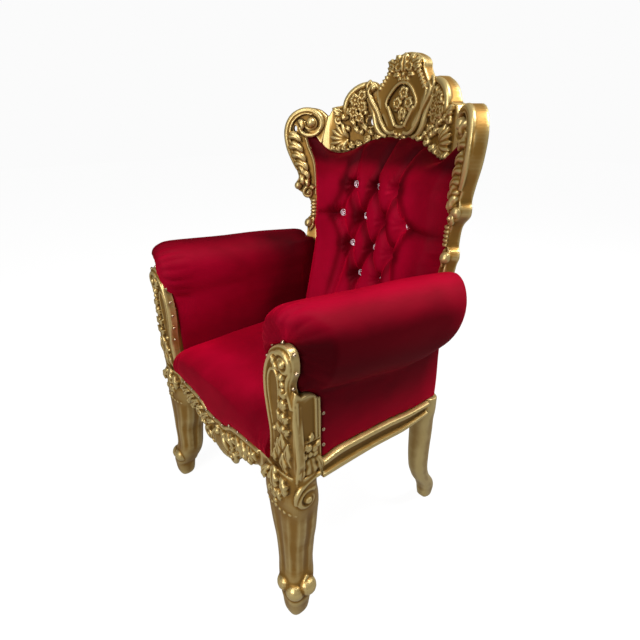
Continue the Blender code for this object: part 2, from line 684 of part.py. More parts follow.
def build_buttons(crystal):
    """The crystals, each seated in its tuft."""
    for row, number, x, z in button_places():
        depth = pad_face(x, z) - BUTTON_LIFT
        bm = bmesh.new()
        bmesh.ops.create_uvsphere(bm, u_segments=6, v_segments=3, radius=BUTTON_RADIUS)
        bmesh.ops.rotate(bm, cent=(0, 0, 0), matrix=Matrix.Rotation(math.pi / 2, 3, "X"), verts=bm.verts)
        bmesh.ops.scale(bm, vec=(1, BUTTON_DEPTH / BUTTON_RADIUS, 1), verts=bm.verts)
        for vert in bm.verts:
            vert.co = bent(x + vert.co.x, depth + vert.co.y, z + vert.co.z)
        bmesh.ops.triangulate(bm, faces=bm.faces)
        bmesh.ops.recalc_face_normals(bm, faces=bm.faces)
        finish(f"button_{row}_{number}", shape_from(bm), crystal)


# ---------------------------------------------------------------- legs
def leg_ring(z, cx, cy, half_x, half_y, sides, flute):
    """One ring of a leg: a rounded square, with every second point drawn in to make flutes."""
    ring = []
    for k in range(sides):
        angle = 2 * math.pi * (k + 0.5) / sides
        c, s = math.cos(angle), math.sin(angle)
        reach = (abs(c) ** 3.2 + abs(s) ** 3.2) ** (-1 / 3.2)
        reach *= 1.0 - (flute if k % 2 else 0.0)
        ring.append((cx + half_x * reach * c, cy + half_y * reach * s, z))
    return ring


def build_front_legs(gold):
    """The carved front legs, each in one piece with the arm facing above it."""
    rings = []
    for z, cx, cy, half_x, half_y in FRONT_LEG:
        flute = FLUTE_DEPTH if 0.12 < z < 0.31 else 0.0
        rings.append(leg_ring(z, cx, cy, half_x, half_y, LEG_SIDES, flute))
    leg = loft(rings)
    shapes = [score(board(FACING, FACING_FRONT, FACING_BACK), (), (0.6000, 0.6400))]
    behind_face = FACING_FRONT + 0.001
    side = [(behind_face, 0.400), (BLOCK_BACK, 0.400), *BLOCK_SHOULDER[::-1], (behind_face, BLOCK_TOP)]
    shapes.append(score(board(side, 0.2430, FACING_OUTER - 0.0005, sideways=True), (), (0.5280, 0.5550)))
    top = FRONT_LEG[-1][0]
    corner = ((LEG_INNER, 0.372), (0.300, 0.372), (0.300, top), (LEG_INNER, top))
    shapes.append(board(corner, -0.3085, APRON_BACK))
    front = FACING_FRONT
    outer_fillet = smooth_path([(x, front, z) for x, z in (
        (0.2440, 0.440), (0.2490, 0.500), (0.2410, 0.560), (0.2370, 0.610), (0.2460, 0.660), (0.2660, 0.692),
        (0.2900, 0.704))], 2)
    shapes.append(roll(outer_fillet, (0.0048, 0.0048)))
    inner_fillet = smooth_path([(x, front, z) for x, z in (
        (0.2640, 0.470), (0.2660, 0.540), (0.2620, 0.600), (0.2680, 0.645), (0.2790, 0.662))], 2)
    shapes.append(roll(inner_fillet, (0.0040, 0.0040)))
    volute = spiral((0.3010, front, 0.6830), 0.0235, 0.0090, 0.42, -1.2, 13)
    shapes.append(roll(volute, (0.0065, 0.0060, 0.0045)))
    shapes.append(ball((0.3010, front - 0.002, 0.6825), 0.0080, 0.9))
    for z, radius in ((0.6520, 0.0085), (0.6390, 0.0075), (0.6275, 0.0066)):
        shapes.append(ball((0.2980, front - 0.001, z), radius, 0.9))
    for x, z, x1, z1, width in (
        (0.298, 0.560, 0.312, 0.610, 0.019), (0.290, 0.560, 0.284, 0.604, 0.016),
        (0.302, 0.530, 0.319, 0.566, 0.018), (0.286, 0.532, 0.276, 0.570, 0.014),
        (0.294, 0.470, 0.298, 0.545, 0.023), (0.274, 0.452, 0.282, 0.500, 0.018),
        (0.306, 0.446, 0.318, 0.504, 0.018),
    ):
        shapes.append(petal((x, front, z), (x1, front - 0.002, z1), width, 0.009))
    shapes.append(ball((0.2970, front - 0.002, 0.5460), 0.0100, 0.9))
    side_face = FACING_OUTER - 0.0005
    for z, radius in ((0.568, 0.010), (0.541, 0.009), (0.515, 0.010), (0.490, 0.008)):
        shapes.append(ball((side_face, -0.2750 + 0.3 * (z - 0.5), z), radius))
    shapes.append(petal((side_face, -0.2560, 0.470), (side_face, -0.2500, 0.572), 0.010, 0.006, ALONG_X))
    shapes.append(petal((side_face, -0.2820, 0.500), (side_face, -0.2600, 0.430), 0.020, 0.008, ALONG_X))
    for x, z, x1, z1, width in (
        (0.268, 0.410, 0.270, 0.335, 0.026), (0.246, 0.404, 0.236, 0.352, 0.020),
        (0.290, 0.404, 0.302, 0.350, 0.020),
    ):
        shapes.append(petal((x, KNEE_FRONT + 0.003, z), (x1, KNEE_FRONT, z1), width, 0.009))
    for z, radius in ((0.326, 0.0080), (0.311, 0.0066)):
        shapes.append(ball((0.2700, KNEE_FRONT, z), radius, 0.9))
    whorl = spiral((0.3290, -0.2790, 0.3640), 0.0230, 0.0080, 0.25, 1.2, 12, ALONG_Y, ALONG_Z)
    shapes.append(roll(whorl, (0.0065, 0.0060, 0.0050)))
    shapes.append(ball((0.3310, -0.2790, 0.3640), 0.0070, 1.0))
    for x, y, z, radius in (
        (0.3160, -0.3085, 0.083, 0.0205), (0.2840, -0.3170, 0.084, 0.0190), (0.3280, -0.2800, 0.085, 0.0190),
    ):
        shapes.append(ball((x, y, z), radius))
    finish_pair("front_leg", thin(combine(leg, shapes), BOARD), gold)


def build_back_legs(gold):
    """The plain sabre back legs, each with the corner block that takes the rails."""
    rings = [leg_ring(*row, 8, 0.0) for row in BACK_LEG]
    inner = JOINT_X + GAP
    outline = ((inner, RAIL_BOTTOM), (0.338, RAIL_BOTTOM), (0.338, BLOCK_LEVEL), (inner, BLOCK_LEVEL))
    corner = bend(score_folds(board(outline, 0.0005, RAIL_DEPTH)))
    finish_pair("back_leg", combine(loft(rings), [corner]), gold)


# ---------------------------------------------------------------- rails
def build_front_rail(gold):
    """The front rail with its carved apron: shell, curls and fronds."""
    outline = mirrored((*APRON_TOP, *APRON_BOTTOM))
    base = board(outline, APRON_FRONT, APRON_BACK)
    front = APRON_FRONT
    shapes = []
    for k in range(-3, 4):
        angle = math.radians(17 * k)
        tip = (0.060 * math.sin(angle) * 0.82, front - 0.003, 0.338 - 0.068 * math.cos(angle))
        shapes.append(petal((0, front - 0.001, 0.346), tip, 0.019, 0.012))
    shapes.append(ball((0, front - 0.004, 0.350), 0.010, 0.9))
    for side in (1, -1):
        curl = spiral((side * 0.0560, front - 0.005, 0.3060), 0.0210, 0.0060, 0.25, -0.9 * side, 9)
        shapes.append(roll(curl, (0.0110, 0.0090, 0.0060)))
        for x, z, x1, z1, width in (
            (0.022, 0.366, 0.060, 0.346, 0.018), (0.060, 0.372, 0.100, 0.344, 0.020),
            (0.084, 0.384, 0.130, 0.356, 0.018), (0.112, 0.392, 0.152, 0.356, 0.018),
            (0.140, 0.398, 0.180, 0.380, 0.015),
        ):
            shapes.append(petal((side * x, front, z), (side * x1, front - 0.003, z1), width, 0.012))
    edge = [(min(x, 0.1965), front - 0.001, z - 0.006) for x, z in APRON_TOP]
    edge = [*[(-x, y, z) for x, y, z in edge[:0:-1]], *edge]
    shapes.append(roll(edge, (0.0048, 0.0048)))
    rail = thin(combine(base, shapes), APRON_FRONT)
    for vert in rail.data.vertices:
        vert.co.y += APRON_LEAN * max(0.0, 0.385 - vert.co.z)
    finish("front_rail", rail, gold)


def build_side_rails(gold):
    """The side rails, moulded with a bead above and a fillet below."""
    base = board((*SIDE_TOP, *SIDE_BOTTOM), SIDE_INNER, SIDE_OUTER - 0.005, sideways=True)
    front, rear = SIDE_TOP[0][0] + 0.0035, SIDE_TOP[-1][0] - 0.0035
    bead = [(SIDE_OUTER - 0.0055, min(max(y, front), rear), z - 0.0062) for y, z in SIDE_TOP]
    fillet = [(SIDE_OUTER - 0.0045, min(max(y, front), rear), z + 0.0075) for y, z in SIDE_BOTTOM]
    shapes = [roll(bead, (0.0060, 0.0060)), roll(fillet, (0.0050, 0.0050))]
    finish_pair("side_rail", combine(base, shapes), gold)


def build_back_rail(gold):
    """The plain curved back rail."""
    reach = JOINT_X - GAP
    outline = ((-reach, RAIL_BOTTOM), (reach, RAIL_BOTTOM), (reach, BLOCK_LEVEL), (-reach, BLOCK_LEVEL))
    finish("back_rail", bend(score_folds(board(outline, 0.0, RAIL_DEPTH))), gold)


# ---------------------------------------------------------------- upholstery
def build_arms(velvet):
    """The rolled arms: an outward-set roll on a wall, cut to fit around the facing."""
    rings = []
    for y, share, sag in ROLL_STATIONS:
        cx, cz = ROLL_X + ROLL_X_SLOPE * y, ROLL_Z + ROLL_Z_SLOPE * y
        radius = (ROLL_R + ROLL_R_SLOPE * y) * share
        swept = FRONT_SWEEP * max(0.0, WALL_FRONT - y) / (WALL_FRONT - ARM_FRONT)
        swept -= REAR_SWEEP * max(0.0, y - REAR_TURN) / (ARM_REAR - REAR_TURN)
        lean = REAR_LEAN * max(0.0, y - WALL_FRONT) / (ARM_REAR - WALL_FRONT)
        ring = []
        for k in range(ROLL_SIDES):
            out, up = (radius * turn(2 * math.pi * k / ROLL_SIDES) for turn in (math.cos, math.sin))
            up *= sag if up < 0 else 1.0
            ring.append((cx + out, y + swept * max(0.0, out) + lean * up, cz + up))
        rings.append(ring)
    bolster = loft(rings)
    stations = [(y, z + GAP) for y, z in SIDE_TOP] + [(WALL_REAR, RAIL_TOP + GAP)]
    walls = []
    for y, z in stations:
        top_z = ROLL_Z + ROLL_Z_SLOPE * y
        walls.append([
            (ARM_INNER, y, z), (ARM_OUTER, y, z), (ARM_OUTER, y, top_z - 0.03), (0.29, y, top_z),
            (ARM_SHOULDER, y, top_z - 0.030), (ARM_INNER, y, top_z - 0.130),
        ])
    wall = loft(walls)
    low = [(y, z + GAP) for y, z in BLOCK_SHOULDER]
    back = WALL_FRONT + 0.0015
    outline = (*low, (back, low[-1][1]), (back, 0.69), (low[0][0], 0.69))
    tongue = board(outline, ARM_INNER + 0.0055, ARM_OUTER - 0.001, sideways=True)
    cheek = ((back, 0.4215), (low[0][0], 0.4215), (low[0][0], 0.640), (back, 0.640))
    lining = board(cheek, ARM_INNER + 0.0005, 0.2424, sideways=True)
    arm = combine(bolster, [wall, tongue, lining])
    facing_cut = board(inset(FACING, -0.0010), -0.40, FACING_BACK + GAP)
    stile = ((0.2560, 0.40), (0.2992, 0.40), (0.2992, 0.82), (0.2560, 0.82))
    stile_cut = bend(score_folds(board(stile, -2 * GAP, RAIL_DEPTH)))
    finish_pair("arm", combine(arm, [facing_cut, stile_cut], "DIFFERENCE"), velvet)


def build_seat(velvet):
    """The tight, crowned seat, from the front rail to the inside back."""
    stations = [k * SEAT_HALF for k in (1.0, 0.965, 0.86, 0.69)] + [x for x, _ in APRON_TOP[-2:0:-1]] + [0.0]
    stations = sorted({round(s * x, 5) for x in stations for s in (1, -1)})
    rings = []
    for x in stations:
        rise = 1.0 - (abs(x) / SEAT_HALF) ** 4
        crown = SEAT_EDGE_Z + (SEAT_CROWN_Z - SEAT_EDGE_Z) * (1.0 - (x / SEAT_HALF) ** 2)
        rail = between(abs(x), APRON_TOP) + GAP
        face = between(0.48, FACE_PROFILE) - SWEEP * x * x
        rear = min(face + (PAD_LOWER - 0.009) * math.sqrt(1 + (2 * SWEEP * x) ** 2), SEAT_REAR)
        front = SEAT_FRONT
        profile = (
            (front + 0.004, rail), (front - 0.002 * rise, rail + 0.03), (front + 0.002, crown - 0.032),
            (front + 0.018, crown - 0.014), (front + 0.050, crown - 0.004), (front + 0.150, crown),
            (0.0, crown + 0.002), (rear - 0.06, crown - 0.002), (rear - 0.012, crown - 0.008),
            (rear, crown - 0.024), (rear, SEAT_BASE), (APRON_BACK + 0.010, SEAT_BASE),
            (APRON_BACK + 0.004, rail),
        )
        rings.append([(x, y, z) for y, z in profile])
    finish("seat_pad", loft(rings), velvet)


def build():
    """Builds every piece of the throne."""
    gold = new_material("gilded_wood", GOLD)
    velvet = new_material("crimson_velvet", VELVET)
    crystal = new_material("crystal", CRYSTAL)
    build_crest(gold)
    build_posts(gold)
    build_front_legs(gold)
    build_back_legs(gold)
    build_front_rail(gold)
    build_side_rails(gold)
    build_back_rail(gold)
    build_back_pad(velvet)
    build_back_panel(velvet)
    build_buttons(crystal)
    build_arms(velvet)
    build_seat(velvet)


build()
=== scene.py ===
"""Looks for the throne: carved gilt frame, crimson velvet upholstery, crystal buttons and nail heads.

Every finished piece lies in the row frame: metres, +Z up, floor at z = 0, the seat opening towards -Y.
Shapes are drawn in the maker's frame, which is the row frame before DEPTH_SHIFT, and most of them on the
sitter's left, at +X. The carving of the back is drawn flat, as (distance along the curve, depth, height),
with the front towards negative depth, and Barrel carries it to the chair.
"""

import logging
import math
from collections.abc import Callable, Iterable, Sequence
from dataclasses import dataclass, field
from enum import Enum

import bmesh
import bpy
import numpy as np
from mathutils import Matrix, Quaternion, Vector


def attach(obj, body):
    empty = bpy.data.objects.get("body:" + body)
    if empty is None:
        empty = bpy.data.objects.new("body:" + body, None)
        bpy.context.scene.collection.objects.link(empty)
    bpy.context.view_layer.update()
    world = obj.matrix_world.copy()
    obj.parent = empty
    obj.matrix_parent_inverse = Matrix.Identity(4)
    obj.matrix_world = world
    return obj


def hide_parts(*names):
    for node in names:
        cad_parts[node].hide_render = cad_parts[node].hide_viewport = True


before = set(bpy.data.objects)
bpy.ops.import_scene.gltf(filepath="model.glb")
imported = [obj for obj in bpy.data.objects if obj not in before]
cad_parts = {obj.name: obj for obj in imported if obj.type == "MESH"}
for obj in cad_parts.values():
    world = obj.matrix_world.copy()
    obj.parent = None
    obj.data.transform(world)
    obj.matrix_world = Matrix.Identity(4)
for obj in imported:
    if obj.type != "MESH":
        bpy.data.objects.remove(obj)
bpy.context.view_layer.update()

LOG = logging.getLogger("throne")
DEPTH_SHIFT = -0.0223
ALONG_X, ALONG_Y, ALONG_Z = Vector((1, 0, 0)), Vector((0, 1, 0)), Vector((0, 0, 1))
TO_FRONT = -ALONG_Y
WELD = 1e-6
PROBE = 0.0002
SQUARENESS = 2.8

Point = tuple[float, float]
Spot = tuple[float, float, float]


class Slot(Enum):
    """The record's material slots."""

    GOLD = "gilded_wood"
    VELVET = "crimson_velvet"
    CRYSTAL = "crystal"


# ---------------------------------------------------------------- finishes
def linear(colour: str) -> tuple[float, float, float, float]:
    """Turns an sRGB hex colour into linear RGBA.

    Args:
        colour: Six hex digits.

    Returns:
        The colour as a shader takes it.
    """
    shares = [int(colour[k:k + 2], 16) / 255 for k in (0, 2, 4)]
    red, green, blue = (s / 12.92 if s <= 0.04045 else ((s + 0.055) / 1.055) ** 2.4 for s in shares)
    return red, green, blue, 1.0


def add(
    tree: bpy.types.NodeTree, kind: str, inputs: dict | None = None, stops: Sequence[tuple[float, str]] = (),
    **settings: object,
) -> bpy.types.Node:
    """Adds a node to a tree.

    Args:
        tree: The node tree.
        kind: The node's type.
        inputs: Values or output sockets, by input name or number.
        stops: Places and hex colours, for a node that grades colours.
        settings: The node's own properties.

    Returns:
        The new node.
    """
    node = tree.nodes.new(kind)
    for name, value in settings.items():
        setattr(node, name, value)
    for name, value in (inputs or {}).items():
        if isinstance(value, bpy.types.NodeSocket):
            tree.links.new(value, node.inputs[name])
        else:
            node.inputs[name].default_value = value
    if stops:
        elements = node.color_ramp.elements
        while len(elements) < len(stops):
            elements.new(0.5)
        for element, (position, colour) in zip(elements, stops):
            element.position = position
            element.color = linear(colour)
    return node


def new_shader(name: str) -> tuple[bpy.types.Material, bpy.types.NodeTree, bpy.types.Node]:
    """Makes an empty Principled material.

    Args:
        name: The material's name.

    Returns:
        The material, its tree and its Principled node.
    """
    material = bpy.data.materials.new(name)
    material.use_nodes = True
    return material, material.node_tree, material.node_tree.nodes["Principled BSDF"]


@dataclass(frozen=True)
class Gilding:
    """Bronze-gold paint over carved beech, rubbed on the high carving and left brown in the hollows,
    with painted shade deepening the hollows and a painted highlight partly paling the high carving.

    The eye sees a satin, slightly greenish gold with pale edges and dark lines where the carving is deep.
    """

    name: str = "antique_gold_on_carved_beech"
    edge: str = "dac080"
    body: str = "a17731"
    shade: str = "8d6829"
    hollow: str = "664818"
    metallic: float = 0.62
    patch_mm: float = 45.0
    unevenness: float = 0.22
    gloss: Point = (0.36, 0.62)
    # The brush marks are finer on the real chair, and are drawn coarse enough to show.
    grain_mm: float = 1.6
    grain_strength: float = 0.12

    def make(self) -> bpy.types.Material:
        """Builds the material.

        Returns:
            The material.
        """
        material, tree, shader = new_shader(self.name)
        place = add(tree, "ShaderNodeTexCoord").outputs["Object"]
        # Carving depth: brown glaze and painted shade in the hollows, a painted highlight on the high
        # carving.
        depth = add(tree, "ShaderNodeAttribute", attribute_name="hollow").outputs["Fac"]
        patches = add(tree, "ShaderNodeTexNoise", {
            "Vector": place, "Scale": 1000 / self.patch_mm, "Detail": 3.0,
        })
        shifted = add(tree, "ShaderNodeMath", {
            0: patches.outputs["Fac"], 1: self.unevenness, 2: -self.unevenness / 2,
        }, operation="MULTIPLY_ADD")
        worn_and_shaded = add(tree, "ShaderNodeMath", {0: depth, 1: shifted.outputs[0]}, operation="ADD")
        # Pale edge, partly a painted highlight, down to the hollow colour, brown glaze deepened by painted
        # shade.
        stops = ((0.14, self.edge), (0.4, self.body), (0.68, self.shade), (0.96, self.hollow))
        colour = add(tree, "ShaderNodeValToRGB", {0: worn_and_shaded.outputs[0]}, stops)
        tree.links.new(colour.outputs["Color"], shader.inputs["Base Color"])
        gloss = add(tree, "ShaderNodeMapRange", {
            "Value": worn_and_shaded.outputs[0], "From Min": 0.2, "From Max": 0.8,
            "To Min": self.gloss[0], "To Max": self.gloss[1],
        })
        tree.links.new(gloss.outputs[0], shader.inputs["Roughness"])
        grain = add(tree, "ShaderNodeTexNoise", {
            "Vector": place, "Scale": 1000 / self.grain_mm, "Detail": 2.0,
        })
        bump = add(tree, "ShaderNodeBump", {
            "Height": grain.outputs["Fac"], "Strength": self.grain_strength, "Distance": 0.0006,
        })
        tree.links.new(bump.outputs[0], shader.inputs["Normal"])
        shader.inputs["Metallic"].default_value = self.metallic
        return material


@dataclass(frozen=True)
class Velvet:
    """Crimson upholstery velvet with a short pile, mottled lighter and darker at random, under painted light.

    The eye sees a deep, matt red, paled by painted highlights and darkened by painted shade in the folds.
    """

    name: str = "crimson_cotton_velvet"
    # The dark colour also serves as painted shade, and the light colour also as painted highlight.
    dark_and_painted_shade: str = "3a0006"
    body: str = "7e0019"
    light: str = "b80530"
    patch_mm: float = 110.0
    streak_mm: float = 28.0
    # The pile is finer on the real cloth, and is drawn coarse enough to show.
    pile_mm: float = 1.1
    pile_strength: float = 0.25
    mottling: float = 0.3
    sheen_tint: str = "ff0838"

    def make(self) -> bpy.types.Material:
        """Builds the material.

        Returns:
            The material.
        """
        material, tree, shader = new_shader(self.name)
        place = add(tree, "ShaderNodeTexCoord").outputs["Object"]
        patches = add(tree, "ShaderNodeTexNoise", {
            "Vector": place, "Scale": 1000 / self.patch_mm, "Detail": 2.0, "Distortion": 0.6,
        })
        long_way = add(tree, "ShaderNodeMapping", {"Vector": place, "Scale": (1.0, 0.35, 1.0)})
        streaks = add(tree, "ShaderNodeTexNoise", {
            "Vector": long_way.outputs[0], "Scale": 1000 / self.streak_mm, "Detail": 3.0,
        })
        mottle = add(tree, "ShaderNodeMath", {
            0: streaks.outputs["Fac"], 1: 0.5, 2: patches.outputs["Fac"],
        }, operation="MULTIPLY_ADD")
        # Painted light and shade stored on the mesh, added to the random mottle below.
        painted_light_attribute = add(tree, "ShaderNodeAttribute", attribute_name="painted_light").outputs["Fac"]
        uneven = add(tree, "ShaderNodeMath", {
            0: mottle.outputs[0], 1: self.mottling, 2: 0.5 - 0.75 * self.mottling,
        }, operation="MULTIPLY_ADD")
        painted_light = add(tree, "ShaderNodeMath", {
            0: painted_light_attribute, 1: 0.5, 2: uneven.outputs[0],
        }, operation="MULTIPLY_ADD")
        # The dark stop takes the painted shade and the light stop the painted highlight, besides the mottle.
        stops = ((0.0, self.dark_and_painted_shade), (0.5, self.body), (1.0, self.light))
        colour = add(tree, "ShaderNodeValToRGB", {0: painted_light.outputs[0]}, stops)
        tree.links.new(colour.outputs["Color"], shader.inputs["Base Color"])
        # Painted sheen: the sheen's weight follows the painted light.
        sheen = add(tree, "ShaderNodeMapRange", {
            "Value": painted_light.outputs[0], "From Min": 0.15, "From Max": 0.85, "To Min": 0.3, "To Max": 0.9,
        })
        tree.links.new(sheen.outputs[0], shader.inputs["Sheen Weight"])
        pile = add(tree, "ShaderNodeTexNoise", {
            "Vector": place, "Scale": 1000 / self.pile_mm, "Detail": 2.0,
        })
        bump = add(tree, "ShaderNodeBump", {
            "Height": pile.outputs["Fac"], "Strength": self.pile_strength, "Distance": 0.0005,
        })
        tree.links.new(bump.outputs[0], shader.inputs["Normal"])
        shader.inputs["Roughness"].default_value = 0.62
        shader.inputs["Specular IOR Level"].default_value = 0.05
        shader.inputs["Sheen Roughness"].default_value = 0.55
        shader.inputs["Sheen Tint"].default_value = linear(self.sheen_tint)
        return material


@dataclass(frozen=True)
class CutCrystal:
    """Clear cut glass, which shows the foil behind it in its facets."""

    name: str = "clear_cut_crystal"
    tint: str = "ffffff"

    def make(self) -> bpy.types.Material:
        """Builds the material.

        Returns:
            The material.
        """
        material, _, shader = new_shader(self.name)
        shader.inputs["Base Color"].default_value = linear(self.tint)
        shader.inputs["Roughness"].default_value = 0.02
        shader.inputs["IOR"].default_value = 1.54
        shader.inputs["Transmission Weight"].default_value = 1.0
        return material


@dataclass(frozen=True)
class PolishedMetal:
    """Bright plated metal, smeared by handling: the foil cups behind the crystals, and the nail heads."""

    name: str
    colour: str
    roughness: float
    metallic: float = 1.0
    # A painted glow: the metal gives off light of its own colour.
    painted_glow: float = 0.0
    smear_mm: float = 10 / 9

    def make(self) -> bpy.types.Material:
        """Builds the material.

        Returns:
            The material.
        """
        material, tree, shader = new_shader(self.name)
        place = add(tree, "ShaderNodeTexCoord").outputs["Object"]
        smears = add(tree, "ShaderNodeTexNoise", {
            "Vector": place, "Scale": 1000 / self.smear_mm, "Detail": 2.0,
        })
        gloss = add(tree, "ShaderNodeMapRange", {
            "Value": smears.outputs["Fac"], "To Min": self.roughness * 0.7, "To Max": self.roughness * 1.3,
        })
        tree.links.new(gloss.outputs[0], shader.inputs["Roughness"])
        shader.inputs["Base Color"].default_value = linear(self.colour)
        shader.inputs["Metallic"].default_value = self.metallic
        # Painted glow, in the metal's own colour.
        shader.inputs["Emission Color"].default_value = linear(self.colour)
        shader.inputs["Emission Strength"].default_value = self.painted_glow
        return material


@dataclass(frozen=True)
class PaleFloor:
    """Backlit studio floor: it looks white, and throws little light up at what stands on it."""

    name: str = "backlit_pale_floor"
    colour: str = "6c6c6c"
    glow: float = 0.22
    brightness: float = 0.95

    def make(self) -> bpy.types.Material:
        """Builds the material.

        Returns:
            The material.
        """
        material, tree, shader = new_shader(self.name)
        seen = add(tree, "ShaderNodeLightPath").outputs["Is Camera Ray"]
        glow = add(tree, "ShaderNodeMapRange", {
            "Value": seen, "To Min": self.glow, "To Max": self.brightness,
        })
        tree.links.new(glow.outputs[0], shader.inputs["Emission Strength"])
        shader.inputs["Base Color"].default_value = linear(self.colour)
        shader.inputs["Roughness"].default_value = 0.9
        shader.inputs["Specular IOR Level"].default_value = 0.0
        shader.inputs["Emission Color"].default_value = linear("ffffff")
        return material


# ---------------------------------------------------------------- lines and fields
def smooth_path(knots: Iterable[Sequence[float]], per_span: int, cyclic: bool = False) -> list[Vector]:
    """Draws a Catmull-Rom curve through knots.

    Args:
        knots: Points in two or three dimensions.
        per_span: Points between one knot and the next.
        cyclic: Whether the curve closes.

    Returns:
        Points along the curve.
    """
    spots = [Vector(k) for k in knots]
    if cyclic:
        ends = [spots[-1], *spots, spots[0], spots[1]]
    else:
        ends = [2 * spots[0] - spots[1], *spots, 2 * spots[-1] - spots[-2]]
    path = []
    for k in range(1, len(ends) - 2):
        before, here, after, beyond = ends[k - 1:k + 3]
        for step in range(per_span):
            t = step / per_span
            path.append(0.5 * (
                2 * here + (after - before) * t + (2 * before - 5 * here + 4 * after - beyond) * t * t
                + (3 * here - before - 3 * after + beyond) * t ** 3
            ))
    return path if cyclic else [*path, spots[-1]]


def spiral(
    centre: Spot, start_radius: float, end_radius: float, start: float, turns: float, count: int,
    a: Vector = ALONG_X, b: Vector = ALONG_Z,
) -> list[Vector]:
    """Winds a volute from its outer end to its eye.

    Args:
        centre: The eye.
        start_radius: Radius at the outer end.
        end_radius: Radius at the inner end.
        start: Angle of the outer end, in turns.
        turns: How far it winds, in turns; negative winds the other way.
        count: Number of points.
        a: Direction at angle nought.
        b: Direction at a quarter turn.

    Returns:
        Points of the volute.
    """
    points = []
    for k in range(count):
        share = k / (count - 1)
        angle = 2 * math.pi * (start + turns * share)
        radius = start_radius + (end_radius - start_radius) * share ** 0.85
        points.append(Vector(centre) + radius * (math.cos(angle) * a + math.sin(angle) * b))
    return points


def mirrored(outline: Sequence[Point]) -> list[Point]:
    """Completes an outline from its right half."""
    return [*outline, *[(-x, z) for x, z in reversed(outline) if x > 0]]


def table(values: np.ndarray, rows: Sequence[Sequence[float]], column: int) -> np.ndarray:
    """Reads one column of a table of sizes at any heights, along smooth curves.

    Args:
        values: Where to read.
        rows: Rows that start with the height, in rising order.
        column: Which column.

    Returns:
        The column's value at each height.
    """
    data = np.array(rows, float)
    x, y = data[:, 0], data[:, column]
    step = np.diff(x)
    slope = np.diff(y) / step
    tangent = np.zeros(len(x))
    for k in range(1, len(x) - 1):
        if slope[k - 1] * slope[k] > 0:
            w0, w1 = 2 * step[k] + step[k - 1], step[k] + 2 * step[k - 1]
            tangent[k] = (w0 + w1) / (w0 / slope[k - 1] + w1 / slope[k])
    tangent[0], tangent[-1] = slope[0], slope[-1]
    at = np.clip(values, x[0], x[-1])
    k = np.clip(np.searchsorted(x, at) - 1, 0, len(x) - 2)
    h = step[k]
    t = (at - x[k]) / h
    return (
        (2 * t ** 3 - 3 * t ** 2 + 1) * y[k] + (t ** 3 - 2 * t ** 2 + t) * h * tangent[k]
        + (3 * t ** 2 - 2 * t ** 3) * y[k + 1] + (t ** 3 - t ** 2) * h * tangent[k + 1]
    )


def outline_distance(points: np.ndarray, outline: Sequence[Sequence[float]]) -> np.ndarray:
    """Signed distance from points to a closed outline, negative inside.

    Args:
        points: N by 2.
        outline: The outline's corners, in order.

    Returns:
        N distances.
    """
    corners = np.array([tuple(c) for c in outline], float)
    nearest = np.full(len(points), 1e9)
    inside = np.zeros(len(points), bool)
    for a, b in zip(corners, np.roll(corners, -1, axis=0)):
        run = b - a
        offset = points - a
        share = np.clip(offset @ run / max(run @ run, 1e-12), 0, 1)
        nearest = np.minimum(nearest, np.linalg.norm(offset - share[:, None] * run, axis=1))
        crosses = (a[1] > points[:, 1]) != (b[1] > points[:, 1])
        rise = run[1] if abs(run[1]) > 1e-12 else 1e-12
        inside ^= crosses & (points[:, 0] < a[0] + (points[:, 1] - a[1]) / rise * run[0])
    return np.where(inside, -nearest, nearest)


def segment_distance(x: np.ndarray, z: np.ndarray, start: Point, end: Point) -> np.ndarray:
    """Distance from many points to one straight fold.

    Args:
        x: Distances along the curve.
        z: Heights.
        start: One end of the fold.
        end: Its other end.

    Returns:
        The distances.
    """
    run = np.array(end) - np.array(start)
    dx, dz = x - start[0], z - start[1]
    share = np.clip((dx * run[0] + dz * run[1]) / (run @ run), 0, 1)
    return np.hypot(dx - share * run[0], dz - share * run[1])


# ---------------------------------------------------------------- meshes
def coordinates(mesh: bpy.types.Mesh, what: str = "co") -> np.ndarray:
    """Reads a mesh's points, or their normals, as an N by 3 array.

    Args:
        mesh: The mesh.
        what: The vertex property to read.

    Returns:
        The points or normals.
    """
    flat = np.zeros(len(mesh.vertices) * 3)
    mesh.vertices.foreach_get(what, flat)
    return flat.reshape(-1, 3)


def place(mesh: bpy.types.Mesh, points: np.ndarray) -> None:
    """Writes a mesh's points."""
    mesh.vertices.foreach_set("co", points.astype(np.float32).ravel())
    mesh.update()


def edge_pairs(mesh: bpy.types.Mesh) -> np.ndarray:
    """Reads a mesh's edges as an N by 2 array.

    Args:
        mesh: The mesh.

    Returns:
        The pairs of point numbers.
    """
    flat = np.zeros(len(mesh.edges) * 2, np.int64)
    mesh.edges.foreach_get("vertices", flat)
    return flat.reshape(-1, 2)


def relax(
    points: np.ndarray, edges: np.ndarray, rounds: int, factor: float = 0.5, hold: np.ndarray | None = None,
) -> np.ndarray:
    """Smooths points towards their neighbours.

    Args:
        points: N by 3.
        edges: Pairs of neighbours.
        rounds: How often.
        factor: How far each time.
        hold: For each point, how much it stays put, from 0 to 1.

    Returns:
        The smoothed points.
    """
    ends = np.concatenate((edges[:, 0], edges[:, 1]))
    others = np.concatenate((edges[:, 1], edges[:, 0]))
    count = np.maximum(np.bincount(ends, minlength=len(points)), 1)[:, None]
    free = factor if hold is None else factor * (1 - hold)[:, None]
    moved = points.copy()
    for _ in range(rounds):
        total = np.stack([np.bincount(ends, moved[others, k], len(points)) for k in range(3)], axis=1)
        moved = moved + free * (total / count - moved)
    return moved


def store(mesh: bpy.types.Mesh, name: str, values: np.ndarray) -> None:
    """Stores one number on each point, as an attribute."""
    attribute = mesh.attributes.get(name) or mesh.attributes.new(name, "FLOAT", "POINT")
    attribute.data.foreach_set("value", values.astype(np.float32))


